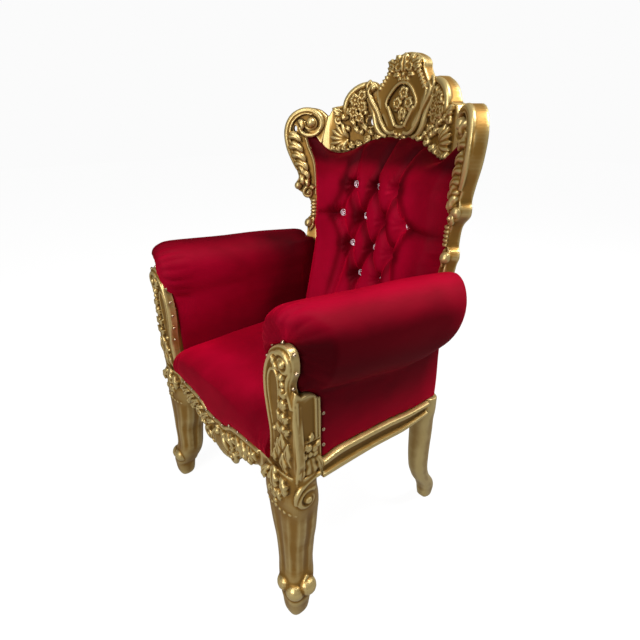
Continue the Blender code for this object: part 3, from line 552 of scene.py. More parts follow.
def store_glaze_and_shade(mesh: bpy.types.Mesh, reach: float = 0.0022) -> None:
    """Stores how deep each point lies in the carving, for the gilding's brown glaze and painted shade in the
    hollows and its painted highlight on the high carving.

    Args:
        mesh: The carved mesh, evenly meshed.
        reach: Depth that counts as fully hollow.
    """
    points, normals, edges = coordinates(mesh), coordinates(mesh, "normal"), edge_pairs(mesh)
    fine = relax(points, edges, 4, 1.0)
    broad = relax(fine, edges, 22, 1.0)
    # Fine hollows count twice as much as broad ones.
    depth = ((fine - points) * normals).sum(1) * 1.6 + ((broad - points) * normals).sum(1) * 0.8
    store(mesh, "hollow", np.clip(0.42 + 0.5 * depth / reach, 0, 1))


def paint_light(mesh: bpy.types.Mesh, painted_light: np.ndarray) -> None:
    """Stores painted light on each point, from -1, painted shade, to 1, painted highlight, as an attribute
    for the velvet.
    """
    store(mesh, "painted_light", np.clip(painted_light, -1, 1))


def ease(values: np.ndarray, start: float, end: float) -> np.ndarray:
    """Rises smoothly from 0 at start to 1 at end."""
    share = np.clip((values - start) / (end - start), 0, 1)
    return share * share * (3 - 2 * share)


def link(name: str, mesh: bpy.types.Mesh) -> bpy.types.Object:
    """Makes an object of a mesh and links it to the scene.

    Args:
        name: The object's name.
        mesh: Its mesh.

    Returns:
        The object.
    """
    obj = bpy.data.objects.new(name, mesh)
    bpy.context.scene.collection.objects.link(obj)
    return obj


def to_mesh(bm: bmesh.types.BMesh, name: str) -> bpy.types.Mesh:
    """Turns a bmesh into a mesh and frees it.

    Args:
        bm: The bmesh.
        name: The mesh's name.

    Returns:
        The mesh.
    """
    mesh = bpy.data.meshes.new(name)
    bm.to_mesh(mesh)
    bm.free()
    return mesh


def solid(curve: bpy.types.Curve) -> bpy.types.Mesh:
    """Turns a curve into a mesh and removes the curve.

    Args:
        curve: The curve.

    Returns:
        The mesh.
    """
    obj = bpy.data.objects.new(curve.name, curve)
    mesh = bpy.data.meshes.new_from_object(obj)
    bpy.data.objects.remove(obj)
    bpy.data.curves.remove(curve)
    return mesh


def evaluated(obj: bpy.types.Object) -> bpy.types.Mesh:
    """Applies an object's modifiers, removes the object and returns the mesh.

    Args:
        obj: The object.

    Returns:
        The mesh.
    """
    bpy.context.view_layer.update()
    graph = bpy.context.evaluated_depsgraph_get()
    mesh = bpy.data.meshes.new_from_object(obj.evaluated_get(graph))
    bpy.data.objects.remove(obj)
    return mesh


def skin(bm: bmesh.types.BMesh, rings: np.ndarray) -> None:
    """Stretches a grid over closed rings of points and fills the first and the last ring.

    Args:
        bm: Where the skin goes.
        rings: Rings by points by 3.
    """
    rings = np.concatenate((rings, rings[:, :1]), axis=1)
    rows, columns, _ = rings.shape
    verts = bmesh.ops.create_grid(bm, x_segments=columns - 1, y_segments=rows - 1, size=0.5)["verts"]
    for vert, spot in zip(verts, rings.reshape(-1, 3)):
        vert.co = spot
    seam = [v for k, v in enumerate(verts) if k % columns in (0, columns - 1)]
    bmesh.ops.remove_doubles(bm, verts=seam, dist=WELD)
    ends = [e for v in verts if v.is_valid for e in v.link_edges if e.is_boundary]
    bmesh.ops.holes_fill(bm, edges=list(dict.fromkeys(ends)), sides=0)


@dataclass
class Carving:
    """Shapes heaped in one mesh and then fused into a single carved surface."""

    voxel: float = 0.0018
    heap: bmesh.types.BMesh = field(default_factory=bmesh.new)

    def absorb(self, mesh: bpy.types.Mesh) -> None:
        """Adds a mesh to the heap and removes it."""
        self.heap.from_mesh(mesh)
        bpy.data.meshes.remove(mesh)

    def plank(
        self, outline: Sequence[Sequence[float]], near: float, far: float,
        holes: Sequence[Sequence[Sequence[float]]] = (), soft: float = 0.0018, sideways: bool = False,
    ) -> None:
        """A board cut to an outline, with eased edges.

        Args:
            outline: Corners in x and z, or in y and z when sideways.
            near: Depth of one face.
            far: Depth of the other face.
            holes: Outlines of openings.
            soft: Radius of the eased edges.
            sideways: Whether the board's faces look along x.
        """
        curve = bpy.data.curves.new("plank", "CURVE")
        curve.dimensions = "2D"
        curve.fill_mode = "BOTH"
        curve.extrude = (far - near) / 2 - soft
        curve.bevel_depth = soft
        curve.bevel_resolution = 2
        curve.offset = -soft
        for loop in (outline, *holes):
            spline = curve.splines.new("POLY")
            spline.points.add(len(loop) - 1)
            for point, corner in zip(spline.points, loop):
                point.co = (corner[0], corner[1], 0.0, 1.0)
            spline.use_cyclic_u = True
        mesh = solid(curve)
        middle = (near + far) / 2
        turn = Matrix.Rotation(math.pi / 2, 4, "X")
        if sideways:
            turn = Matrix.Translation((middle, 0, 0)) @ Matrix.Rotation(math.pi / 2, 4, "Z") @ turn
        else:
            turn = Matrix.Translation((0, middle, 0)) @ turn
        mesh.transform(turn)
        self.absorb(mesh)

    def scroll(self, path: Sequence[Sequence[float]], radii: Sequence[float]) -> None:
        """A tapered roll along a path.

        Args:
            path: Points along it.
            radii: Radii, evenly spread along the path.
        """
        places = np.linspace(0, len(radii) - 1, len(path))
        curve = bpy.data.curves.new("scroll", "CURVE")
        curve.dimensions = "3D"
        curve.bevel_depth = 1.0
        curve.bevel_resolution = 3
        curve.use_fill_caps = True
        spline = curve.splines.new("POLY")
        spline.points.add(len(path) - 1)
        for point, spot, radius in zip(spline.points, path, np.interp(places, range(len(radii)), radii)):
            point.co = (*spot, 1.0)
            point.radius = radius
        self.absorb(solid(curve))

    def band(
        self, line: Iterable[Point], depth: float, radii: Sequence[float], side: int = 1, per_span: int = 4,
    ) -> None:
        """A tapered roll along a smooth line in a plane that faces the front.

        Args:
            line: Its knots, in x and height.
            depth: Where the plane lies.
            radii: Radii, evenly spread along the line.
            side: 1 as drawn, or -1 mirrored.
            per_span: Points between one knot and the next.
        """
        self.scroll(smooth_path([(side * x, depth, z) for x, z in line], per_span), radii)

    def volute(
        self, eye: Spot, wide: float, narrow: float, start: float, turns: float, count: int,
        radii: Sequence[float], side: int = 1,
    ) -> None:
        """A tapered roll wound into a spiral that faces the front.

        Args:
            eye: Its centre.
            wide: Radius at the outer end.
            narrow: Radius at the inner end.
            start: Angle of the outer end, in turns.
            turns: How far it winds, in turns.
            count: Points along it.
            radii: Radii of the roll, evenly spread.
            side: 1 as drawn, or -1 to move the eye across and wind the other way.
        """
        centre = (side * eye[0], eye[1], eye[2])
        self.scroll(spiral(centre, wide, narrow, start, turns * side, count), radii)

    def beads(self, rows: Iterable[Spot], depth: float, side: int = 1) -> None:
        """Round knobs at one depth, each given by x, height and radius."""
        for x, z, radius in rows:
            self.bead((side * x, depth, z), radius)

    def leaves(
        self, rows: Iterable[Sequence[float]], foot: float, tip: float, lift: float, lobes: int,
        side: int = 1, bow: float = 0.0, hook: float = 0.0, vein: float = 0.35,
    ) -> None:
        """Leaves that face the front.

        Args:
            rows: For each: x and height of foot and of tip, its width, and any bow of its own.
            foot: Depth of the feet.
            tip: Depth of the tips.
            lift: How proud they stand.
            lobes: Notches along each side.
            side: 1 as drawn, or -1 mirrored.
            bow: How far they swing sideways, where a row doesn't say.
            hook: How far the tips curl forward.
            vein: Depth of the groove down the middle.
        """
        for x, z, x1, z1, width, *own in rows:
            swing = (own[0] if own else bow) * side
            self.leaf((side * x, foot, z), (side * x1, tip, z1), width, lift, lobes, swing, hook, vein)

    def bead(self, centre: Sequence[float], radius: float, squash: float = 1.0) -> None:
        """A round knob, squashed along y when asked.

        Args:
            centre: Its centre.
            radius: Its radius.
            squash: Its depth as a share of its width.
        """
        bm = bmesh.new()
        bmesh.ops.create_uvsphere(bm, u_segments=16, v_segments=10, radius=radius)
        bmesh.ops.scale(bm, vec=(1.0, squash, 1.0), verts=bm.verts)
        bmesh.ops.translate(bm, vec=Vector(centre), verts=bm.verts)
        self.absorb(to_mesh(bm, "bead"))

    def leaf(
        self, foot: Sequence[float], tip: Sequence[float], width: float, lift: float, lobes: int = 0,
        bow: float = 0.0, hook: float = 0.0, vein: float = 0.35, outward: Vector = TO_FRONT,
    ) -> None:
        """A carved leaf or petal.

        Args:
            foot: Where it grows from.
            tip: Where it ends.
            width: Its greatest width.
            lift: How proud it stands.
            lobes: Notches along each side.
            bow: How far it swings sideways, as a share of its length.
            hook: How far the tip curls forward.
            vein: Depth of the groove down its middle, as a share of the lift.
            outward: The way it faces.
        """
        start, end = Vector(foot), Vector(tip)
        along = (end - start).normalized()
        length = (end - start).length
        across = along.cross(outward).normalized()
        face = across.cross(along)
        bm = bmesh.new()
        bmesh.ops.create_uvsphere(bm, u_segments=24, v_segments=18, radius=1.0)
        for vert in bm.verts:
            x, y, z = vert.co
            t = (1 + z) / 2
            belly = math.sqrt(max(1 - z * z, 1e-9))
            side, up = x / belly, y / belly
            shape = math.sin(math.pi * t ** 0.85) ** 0.7 if 0 < t < 1 else 0.0
            wave = math.cos(2 * math.pi * lobes * (t - 0.12 * abs(side))) if lobes else 0.0
            half = width / 2 * shape * (1 + 0.2 * wave)
            rise = lift * shape * (1 - vein * math.exp(-((side / 0.24) ** 2))) * (1 + 0.16 * wave * abs(side))
            sway = bow * length * 4 * t * (1 - t)
            proud = up * rise + hook * t * t
            vert.co = start + along * (length * t) + across * (half * side + sway) + face * proud
        self.absorb(to_mesh(bm, "leaf"))

    def rosette(
        self, centre: Sequence[float], radius: float, turn: float, lift: float, petals: int = 5,
    ) -> None:
        """A small open flower with a round heart.

        Args:
            centre: Its centre.
            radius: Its radius.
            turn: Where the first petal points, in turns.
            lift: How proud the petals stand.
            petals: How many there are.
        """
        middle = Vector(centre)
        for k in range(petals):
            angle = 2 * math.pi * (turn + k / petals)
            out = Vector((math.cos(angle), 0.0, math.sin(angle)))
            root, tip = middle + 0.15 * radius * out, middle + radius * out
            self.leaf(root, tip, 0.95 * radius, lift, vein=0.45, hook=0.002)
        self.bead(middle - 0.3 * lift * ALONG_Y, 0.3 * radius, 0.9)

    def fuse(
        self, bend: Callable[[np.ndarray], np.ndarray] | None = None, keep: float = 1.0, soften: int = 1,
    ) -> bpy.types.Mesh:
        """Fuses the heap into one closed surface.

        Args:
            bend: A change of every point once fused.
            keep: Share of the triangles to keep.
            soften: Rounds of smoothing.

        Returns:
            The carved mesh, with its carving depth stored for the gilding's glaze and painted shade.
        """
        obj = link("carving", to_mesh(self.heap, "carving"))
        remesh = obj.modifiers.new("fuse", "REMESH")
        remesh.mode = "VOXEL"
        remesh.voxel_size = self.voxel
        fused = evaluated(obj)
        place(fused, relax(coordinates(fused), edge_pairs(fused), soften, 0.35))
        store_glaze_and_shade(fused)
        if bend is not None:
            place(fused, bend(coordinates(fused)))
        if keep < 1.0:
            obj = link("carving", fused)
            thin = obj.modifiers.new("thin", "DECIMATE")
            thin.ratio = keep
            fused = evaluated(obj)
        return fused


def mirror_mesh(mesh: bpy.types.Mesh) -> bpy.types.Mesh:
    """Returns the right-hand twin of a left-hand mesh.

    Args:
        mesh: The left-hand mesh.

    Returns:
        The twin.
    """
    twin = mesh.copy()
    twin.transform(Matrix.Diagonal((-1, 1, 1, 1)))
    twin.flip_normals()
    return twin


def finish_piece(
    name: str, mesh: bpy.types.Mesh, materials: Sequence[bpy.types.Material], stands_for: Sequence[str] = (),
    slot: Slot | None = None, smooth: bool = True,
) -> bpy.types.Object:
    """Makes a mesh a shown piece of the throne, in the row frame.

    Args:
        name: The piece's name.
        mesh: Its mesh, in the maker's frame.
        materials: Its materials, in the order that its faces number them.
        stands_for: CAD nodes that it replaces.
        slot: Not used.
        smooth: Whether its faces are shaded smooth.

    Returns:
        The piece.
    """
    mesh.transform(Matrix.Translation((0, DEPTH_SHIFT, 0)))
    for material in materials:
        mesh.materials.append(material)
    if smooth:
        mesh.shade_smooth()
    mesh.name = name
    piece = link(name, mesh)
    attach(piece, "root")
    if stands_for:
        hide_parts(*stands_for)
    LOG.info("%s: %d triangles", name, sum(len(p.vertices) - 2 for p in mesh.polygons))
    return piece


def finish_pair(name: str, mesh: bpy.types.Mesh, gold: bpy.types.Material, node: str) -> None:
    """Makes a gilded left-hand mesh and its right-hand twin shown pieces of the throne.

    Args:
        name: The pieces' name, without the side.
        mesh: The left-hand mesh.
        gold: The gilding.
        node: The CAD nodes' name, without the side.
    """
    twin = mirror_mesh(mesh)
    for side, shape in (("left", mesh), ("right", twin)):
        finish_piece(f"{name}_{side}", shape, [gold], [f"{node}_{side}"], Slot.GOLD)


# ---------------------------------------------------------------- the barrel of the back
@dataclass(frozen=True)
class Barrel:
    """The curve of the back, which carries flat work to its place on the chair."""

    sweep: float = 1.507
    profile: tuple[Point, ...] = (
        (0.38, 0.26), (0.5185, 0.268), (0.6481, 0.301), (0.7777, 0.33), (1.26, 0.3486),
    )
    easing: float = 0.015

    def face(self, z: np.ndarray) -> np.ndarray:
        """Depth of the frame's face on the middle line, with the folds eased.

        Args:
            z: Heights.

        Returns:
            The depths.
        """
        heights, depths = zip(*self.profile)
        shifts = (-self.easing, -self.easing / 2, 0.0, self.easing / 2, self.easing)
        return sum(np.interp(z + s, heights, depths) for s in shifts) / len(shifts)

    def arc(self, x: np.ndarray) -> np.ndarray:
        """Distance along the curved face from the middle out to x."""
        k = 2 * self.sweep * x
        return (k * np.sqrt(1 + k * k) + np.arcsinh(k)) / (4 * self.sweep)

    def bend(self, points: np.ndarray) -> np.ndarray:
        """Carries flat points to the chair.

        Args:
            points: N by 3: distance along the curve, depth behind the face, height.

        Returns:
            N by 3 places on the chair.
        """
        distance, depth, z = points.T
        x = distance.copy()
        for _ in range(8):
            x -= (self.arc(x) - distance) / np.sqrt(1 + (2 * self.sweep * x) ** 2)
        slope = 2 * self.sweep * x
        length = np.sqrt(1 + slope * slope)
        y = self.face(z) - self.sweep * x * x
        return np.stack((x + depth * slope / length, y + depth / length, z), axis=1)


BARREL = Barrel()


# ---------------------------------------------------------------- carved back
@dataclass
class Crest:
    """The carved top rail: a shield with a kite of roses between two pierced, flowered lobes."""

    board: float = 0.03
    plate: float = 0.011
    hole_centre: Point = (0.106, 1.0735)
    hole_radius: float = 0.0125
    upper: tuple[Point, ...] = (
        (0.0, 1.24), (0.018, 1.238), (0.034, 1.232), (0.049, 1.224), (0.058, 1.212), (0.06, 1.2),
        (0.068, 1.187), (0.08, 1.171), (0.092, 1.163), (0.105, 1.174), (0.121, 1.178), (0.138, 1.172),
        (0.158, 1.162), (0.176, 1.148), (0.189, 1.13), (0.199, 1.117), (0.222, 1.113), (0.231, 1.104),
        (0.24, 1.088), (0.244, 1.085),
    )
    lower: tuple[Point, ...] = (
        (0.259, 1.012), (0.2363, 0.993), (0.212, 0.986), (0.19, 0.986), (0.16, 0.994), (0.135, 1.006),
        (0.106, 1.02), (0.08, 1.027), (0.043, 1.032), (0.0, 1.033),
    )
    shield: tuple[Point, ...] = (
        (0.0, 1.212), (0.036, 1.21), (0.052, 1.196), (0.066, 1.176), (0.082, 1.16), (0.09, 1.148),
        (0.084, 1.124), (0.07, 1.096), (0.05, 1.066), (0.034, 1.044), (0.0, 1.04),
    )
    kite: tuple[Point, ...] = (
        (0.0, 1.17), (0.022, 1.163), (0.042, 1.144), (0.055, 1.12), (0.042, 1.096), (0.026, 1.072),
        (0.014, 1.062), (0.0, 1.06),
    )

    def middle(self, work: Carving) -> None:
        """Carves the shield, its kite of roses and the leaves over it.

        Args:
            work: Where the shapes are heaped.
        """
        kite = smooth_path(mirrored(self.kite), 3, cyclic=True)
        shield = smooth_path(mirrored(self.shield), 2, cyclic=True)
        work.plank(shield, -self.plate, 0.01, holes=[kite], soft=0.0022)
        rim = [(p[0], -self.plate, p[1]) for p in kite]
        work.scroll([*rim, rim[0]], (0.0042, 0.0042))
        for x, z, radius in ((0.0, 1.145, 0.0185), (-0.02, 1.12, 0.017), (0.02, 1.12, 0.017)):
            work.rosette((x, -0.003, z), radius, turn=0.1 + 4 * x, lift=0.0095)
        for x in (-0.01, 0.01):
            work.leaf((x * 0.5, -0.002, 1.112), (x * 0.6, -0.006, 1.074), 0.016, 0.008, lobes=3, bow=-4 * x)
            work.leaf((x, -0.002, 1.11), (x * 3.4, -0.003, 1.1), 0.012, 0.006, lobes=2)
        work.bead((0.0, -0.004, 1.07), 0.005)
        bar = ((0.047, 1.112), (0.033, 1.088), (0.0175, 1.062))
        for side in (1, -1):
            work.band(bar, -self.plate - 0.002, (0.0045, 0.0062, 0.0058), side, per_span=3)
        work.leaf((0.0, -0.006, 1.184), (0.0, -0.009, 1.2395), 0.036, 0.014, lobes=4, hook=0.004)
        work.leaf((0.0, -0.009, 1.192), (0.0, -0.01, 1.162), 0.016, 0.007, lobes=2)
        work.bead((0.0, -0.014, 1.188), 0.0056)
        for side in (1, -1):
            work.rosette((side * 0.0205, -0.012, 1.205), 0.0125, turn=0.05, lift=0.007)
            work.leaves((
                (0.012, 1.205, 0.034, 1.2345, 0.021), (0.018, 1.2, 0.06, 1.22, 0.025),
                (0.03, 1.192, 0.06, 1.206, 0.016), (0.008, 1.186, 0.04, 1.185, 0.015),
                (0.005, 1.18, 0.022, 1.172, 0.011),
            ), -0.006, -0.01, 0.01, 3, side, bow=-0.08)
            for k in range(6):
                x, z = 0.048 + 0.0066 * k, 1.2 - 0.0085 * k
                foot, tip = (side * (x - 0.01), -0.009, z - 0.004), (side * (x + 0.006), -0.01, z + 0.004)
                work.leaf(foot, tip, 0.01, 0.0055)
        for x in (-0.0125, 0.0, 0.0125):
            work.bead((x, -0.0075, 1.0405 + 6.0 * x * x), 0.0068, 0.95)
        for side in (1, -1):
            work.leaf((side * 0.002, -0.004, 1.034), (side * 0.024, -0.006, 1.0335), 0.0085, 0.008)

    def ribbons(self, work: Carving, side: int) -> None:
        """Carves the pair of bands that run from a top curl to the foot of the shield.

        Args:
            work: Where the shapes are heaped.
            side: 1 for the sitter's left, -1 for the right.
        """
        inner = (
            (0.101, 1.166), (0.113, 1.152), (0.106, 1.134), (0.09, 1.112), (0.077, 1.094), (0.066, 1.072),
            (0.05, 1.052), (0.034, 1.044), (0.016, 1.046),
        )
        work.band(inner, -0.013, (0.0058, 0.0066, 0.0064, 0.006, 0.0052), side)
        outer = (
            (0.118, 1.134), (0.104, 1.112), (0.094, 1.094), (0.084, 1.062), (0.068, 1.042), (0.048, 1.034),
        )
        work.band(outer, -0.0075, (0.0042, 0.0066, 0.0086, 0.0076, 0.0055), side)
        curl = (0.005, 0.0052, 0.0042)
        work.volute((0.108, -0.01, 1.162), 0.015, 0.0045, 0.25, -1.25, 18, curl, side)
        work.bead((side * 0.1, -0.0125, 1.159), 0.0078)

    def lobe(self, work: Carving, side: int) -> None:
        """Carves the flowers, band, shell and leaf border of one lobe.

        Args:
            work: Where the shapes are heaped.
            side: 1 for the sitter's left, -1 for the right.
        """
        band = (
            (0.116, 1.171), (0.136, 1.167), (0.158, 1.157), (0.175, 1.142), (0.186, 1.122), (0.187, 1.098),
            (0.18, 1.08),
        )
        work.band(band, -0.004, (0.0062, 0.0086, 0.0094, 0.0088, 0.006), side)
        inner_band = ((0.128, 1.156), (0.148, 1.148), (0.164, 1.134), (0.172, 1.114), (0.171, 1.096))
        work.band(inner_band, -0.006, (0.003, 0.0042, 0.003), side)
        for x, z, radius in (
            (0.156, 1.129, 0.02), (0.133, 1.112, 0.0175), (0.16, 1.098, 0.018),
            (0.134, 1.142, 0.015), (0.14, 1.084, 0.0155),
        ):
            work.rosette((side * x, -0.008, z), radius, turn=7 * x, lift=0.0105)
        work.leaves((
            (0.146, 1.12, 0.122, 1.134, 0.014, 0.1), (0.168, 1.112, 0.181, 1.09, 0.014, -0.1),
            (0.148, 1.082, 0.124, 1.07, 0.014, 0.1), (0.172, 1.082, 0.152, 1.06, 0.016, 0.1),
            (0.136, 1.066, 0.112, 1.046, 0.016, 0.15), (0.16, 1.062, 0.14, 1.04, 0.015, 0.1),
            (0.128, 1.094, 0.112, 1.098, 0.012, 0.0), (0.182, 1.078, 0.197, 1.094, 0.014, 0.1),
            (0.194, 1.098, 0.2295, 1.1105, 0.017, 0.06), (0.196, 1.09, 0.225, 1.095, 0.014, -0.06),
            (0.112, 1.05, 0.092, 1.036, 0.014, 0.1), (0.186, 1.06, 0.168, 1.046, 0.013, 0.1),
        ), -0.004, -0.008, 0.01, 3, side, hook=0.002)
        hole = (self.hole_centre[0], -0.003, self.hole_centre[1])
        work.volute(hole, 0.0162, 0.0158, 0.55, -0.8, 16, (0.0022, 0.0034, 0.0026), side)
        work.beads((
            (0.131, 1.044, 0.0078), (0.146, 1.048, 0.005), (0.166, 1.085, 0.0055),
            (0.124, 1.101, 0.005), (0.121, 1.058, 0.005),
        ), -0.009, side)
        shell = (side * 0.174, 1.027)
        for k, reach in enumerate((0.05, 0.056, 0.06, 0.062, 0.06, 0.054, 0.046)):
            angle = math.radians(62 - 19 * k)
            tip = (shell[0] + side * reach * math.cos(angle), -0.007, shell[1] + reach * math.sin(angle))
            work.leaf((shell[0], -0.004, shell[1]), tip, 0.0175, 0.012, vein=0.0, bow=0.05 * side)
        curl = (0.0048, 0.0044, 0.004)
        work.volute((0.208, -0.007, 1.079), 0.0125, 0.004, 0.9, 1.15, 16, curl, side)
        work.bead((side * 0.208, -0.0095, 1.079), 0.005)
        work.leaves((
            (0.224, 1.012, 0.212, 0.991, 0.017), (0.206, 1.012, 0.196, 0.988, 0.018),
            (0.19, 1.012, 0.176, 0.992, 0.018), (0.168, 1.018, 0.15, 1.0, 0.019),
            (0.15, 1.02, 0.124, 1.011, 0.018), (0.124, 1.03, 0.098, 1.024, 0.017),
            (0.09, 1.038, 0.062, 1.034, 0.014),
        ), -0.004, -0.008, 0.011, 2, side, bow=-0.14, hook=0.003)
        for x, z, radius in ((0.172, 1.006, 0.0125), (0.11, 1.029, 0.009)):
            work.volute((x, -0.007, z), radius, 0.004, 0.4, -1.2, 16, (0.004, 0.0044, 0.0036), side)

    def build(self, gold: bpy.types.Material) -> None:
        """Carves, bends and gilds the crest.

        Args:
            gold: The gilding.
        """
        work = Carving(voxel=0.0017)
        outline = smooth_path(mirrored((*self.upper, *self.lower)), 3, cyclic=True)
        holes = [
            [(p.x, p.z) for p in spiral((side * self.hole_centre[0], 0, self.hole_centre[1]),
                                        self.hole_radius, self.hole_radius, 0, 0.95, 20)]
            for side in (1, -1)
        ]
        work.plank(outline, 0.0, self.board, holes=holes)
        self.middle(work)
        for side in (1, -1):
            self.ribbons(work, side)
            self.lobe(work, side)
        mesh = work.fuse(BARREL.bend, keep=0.64)
        finish_piece("crest_carving", mesh, [gold], ["crest"], Slot.GOLD)


@dataclass
class BackPosts:
    """The two uprights: volute ear, husks, knuckle, C-scroll, rings, knob and a plain stile."""

    board: float = 0.03
    outer: tuple[Point, ...] = (
        (0.257, 1.0975), (0.27, 1.106), (0.29, 1.111), (0.311, 1.112), (0.332, 1.107), (0.351, 1.096),
        (0.366, 1.079), (0.376, 1.06), (0.379, 1.04), (0.375, 1.012), (0.366, 0.985), (0.35, 0.956),
        (0.338, 0.93), (0.333, 0.91), (0.342, 0.895), (0.342, 0.88), (0.327, 0.868), (0.308, 0.856),
        (0.295, 0.842), (0.29, 0.822), (0.29, 0.796), (0.3, 0.786), (0.307, 0.77), (0.3, 0.755),
        (0.298, 0.735), (0.298, 0.64), (0.298, 0.54),
    )
    foot: tuple[Point, ...] = ((0.298, 0.4215), (0.2615, 0.4215))
    inner: tuple[Point, ...] = (
        (0.2615, 0.54), (0.2615, 0.64), (0.2625, 0.735), (0.274, 0.772), (0.271, 0.8), (0.27, 0.86),
        (0.274, 0.93), (0.281, 0.967), (0.296, 1.0), (0.305, 1.029), (0.299, 1.036), (0.2785, 1.031),
        (0.2604, 1.0115), (0.2446, 1.086),
    )

    def carve(self, work: Carving) -> None:
        """Heaps up the post's carving.

        Args:
            work: Where the shapes are heaped.
        """
        outline = [*smooth_path(self.outer, 3), *self.foot, *smooth_path(self.inner, 3)]
        holes = [
            [(x + p.x * 0.62, z + p.z) for p in spiral((0, 0, 0), radius, radius, 0, 0.95, 16)]
            for x, z, radius in ((0.344, 1.054, 0.0088), (0.345, 1.008, 0.004))
        ]
        work.plank(outline, 0.0, self.board, holes=holes)
        ear = (
            (0.336, 0.936), (0.35, 0.965), (0.363, 1.0), (0.369, 1.035), (0.364, 1.066), (0.347, 1.09),
            (0.318, 1.103), (0.288, 1.101), (0.266, 1.085), (0.262, 1.062), (0.276, 1.046), (0.294, 1.046),
            (0.306, 1.058),
        )
        work.band(ear, -0.002, (0.005, 0.0088, 0.0098, 0.0098, 0.0092, 0.0076, 0.0056))
        fillet = (
            (0.342, 0.96), (0.354, 0.998), (0.36, 1.034), (0.355, 1.064), (0.34, 1.084), (0.316, 1.095),
            (0.29, 1.093),
        )
        work.band(fillet, -0.009, (0.0016, 0.003, 0.0032, 0.0026, 0.0014))
        work.volute((0.293, -0.005, 1.0705), 0.0225, 0.008, 0.02, -1.05, 22, (0.0042, 0.0046, 0.005))
        work.bead((0.293, -0.0075, 1.071), 0.0145, 0.9)
        lip = ((0.266, 1.048), (0.284, 1.037), (0.306, 1.036), (0.322, 1.044), (0.33, 1.058))
        work.band(lip, -0.005, (0.005, 0.0066, 0.006, 0.004))
        work.leaves((
            (0.332, 1.08, 0.318, 1.05, 0.018, 0.1), (0.368, 1.036, 0.322, 1.018, 0.026, 0.14),
            (0.366, 1.008, 0.316, 0.988, 0.03, 0.14), (0.356, 0.984, 0.307, 0.96, 0.03, 0.14),
            (0.346, 0.96, 0.299, 0.934, 0.029, 0.14), (0.334, 0.936, 0.293, 0.91, 0.026, 0.12),
            (0.328, 0.96, 0.31, 0.918, 0.026, 0.0), (0.32, 0.93, 0.316, 0.89, 0.026, 0.0),
            (0.306, 0.912, 0.298, 0.884, 0.02, 0.0),
        ), -0.003, -0.011, 0.014, 1, hook=0.005, vein=0.2)
        work.bead((0.333, -0.002, 0.887), 0.0125)
        knuckle = (0.006, 0.006, 0.005, 0.0045)
        work.volute((0.299, -0.004, 0.866), 0.0215, 0.006, 0.4, -1.15, 22, knuckle)
        hollow = ((0.333, 0.887), (0.322, 0.902), (0.322, 0.922), (0.332, 0.938))
        work.band(hollow, -0.003, (0.0058, 0.0046, 0.004))
        work.bead((0.299, -0.007, 0.866), 0.0068)
        for k in range(5):
            z = 0.842 - 0.0108 * k
            low = z - 0.0008
            ring = [(0.2712, -0.001, z), (0.276, -0.0055, low), (0.285, -0.0055, low), (0.2895, -0.001, z)]
            work.scroll(smooth_path(ring, 3), (0.0042, 0.0042))
        work.bead((0.296, -0.002, 0.7705), 0.0145)
        work.leaf((0.282, -0.001, 0.79), (0.288, -0.004, 0.742), 0.018, 0.008, lobes=2)
        inner_edge = ((0.276, 0.86), (0.28, 0.93), (0.287, 0.966), (0.302, 1.0), (0.311, 1.028))
        work.band(inner_edge, -0.0005, (0.0022, 0.0022))

    def build(self, gold: bpy.types.Material) -> None:
        """Carves, bends and gilds both posts.

        Args:
            gold: The gilding.
        """
        work = Carving(voxel=0.0016)
        self.carve(work)
        finish_pair("back_post_carving", work.fuse(BARREL.bend, keep=0.7), gold, "back_post")


# ---------------------------------------------------------------- carved legs and rails
def square_reach(c: float, s: float) -> float:
    """How far a round-cornered square of half width 1 reaches, by the cosine and sine of the direction."""
    return (abs(c) ** SQUARENESS + abs(s) ** SQUARENESS) ** (-1 / SQUARENESS)


def leg_rings(
    rows: Sequence[Sequence[float]], sides: int, step: float, flutes: Callable[[float, float], float],
) -> np.ndarray:
    """Works out the rounded-square rings of a leg.

    Args:
        rows: Height, centre x, centre y, half width and half depth.
        sides: Points in a ring.
        step: Height between rings.
        flutes: How much a point is drawn in, by height and angle.

    Returns:
        Rings by sides by 3.
    """
    heights = np.linspace(rows[0][0], rows[-1][0], max(int((rows[-1][0] - rows[0][0]) / step), 2))
    columns = [table(heights, rows, k) for k in (1, 2, 3, 4)]
    rings = []
    for z, cx, cy, half_x, half_y in zip(heights, *columns):
        ring = []
        for k in range(sides):
            angle = 2 * math.pi * k / sides
            c, s = math.cos(angle), math.sin(angle)
            reach = square_reach(c, s) * (1 - flutes(z, angle))
            ring.append((cx + half_x * reach * c, cy + half_y * reach * s, z))
        rings.append(ring)
    return np.array(rings)


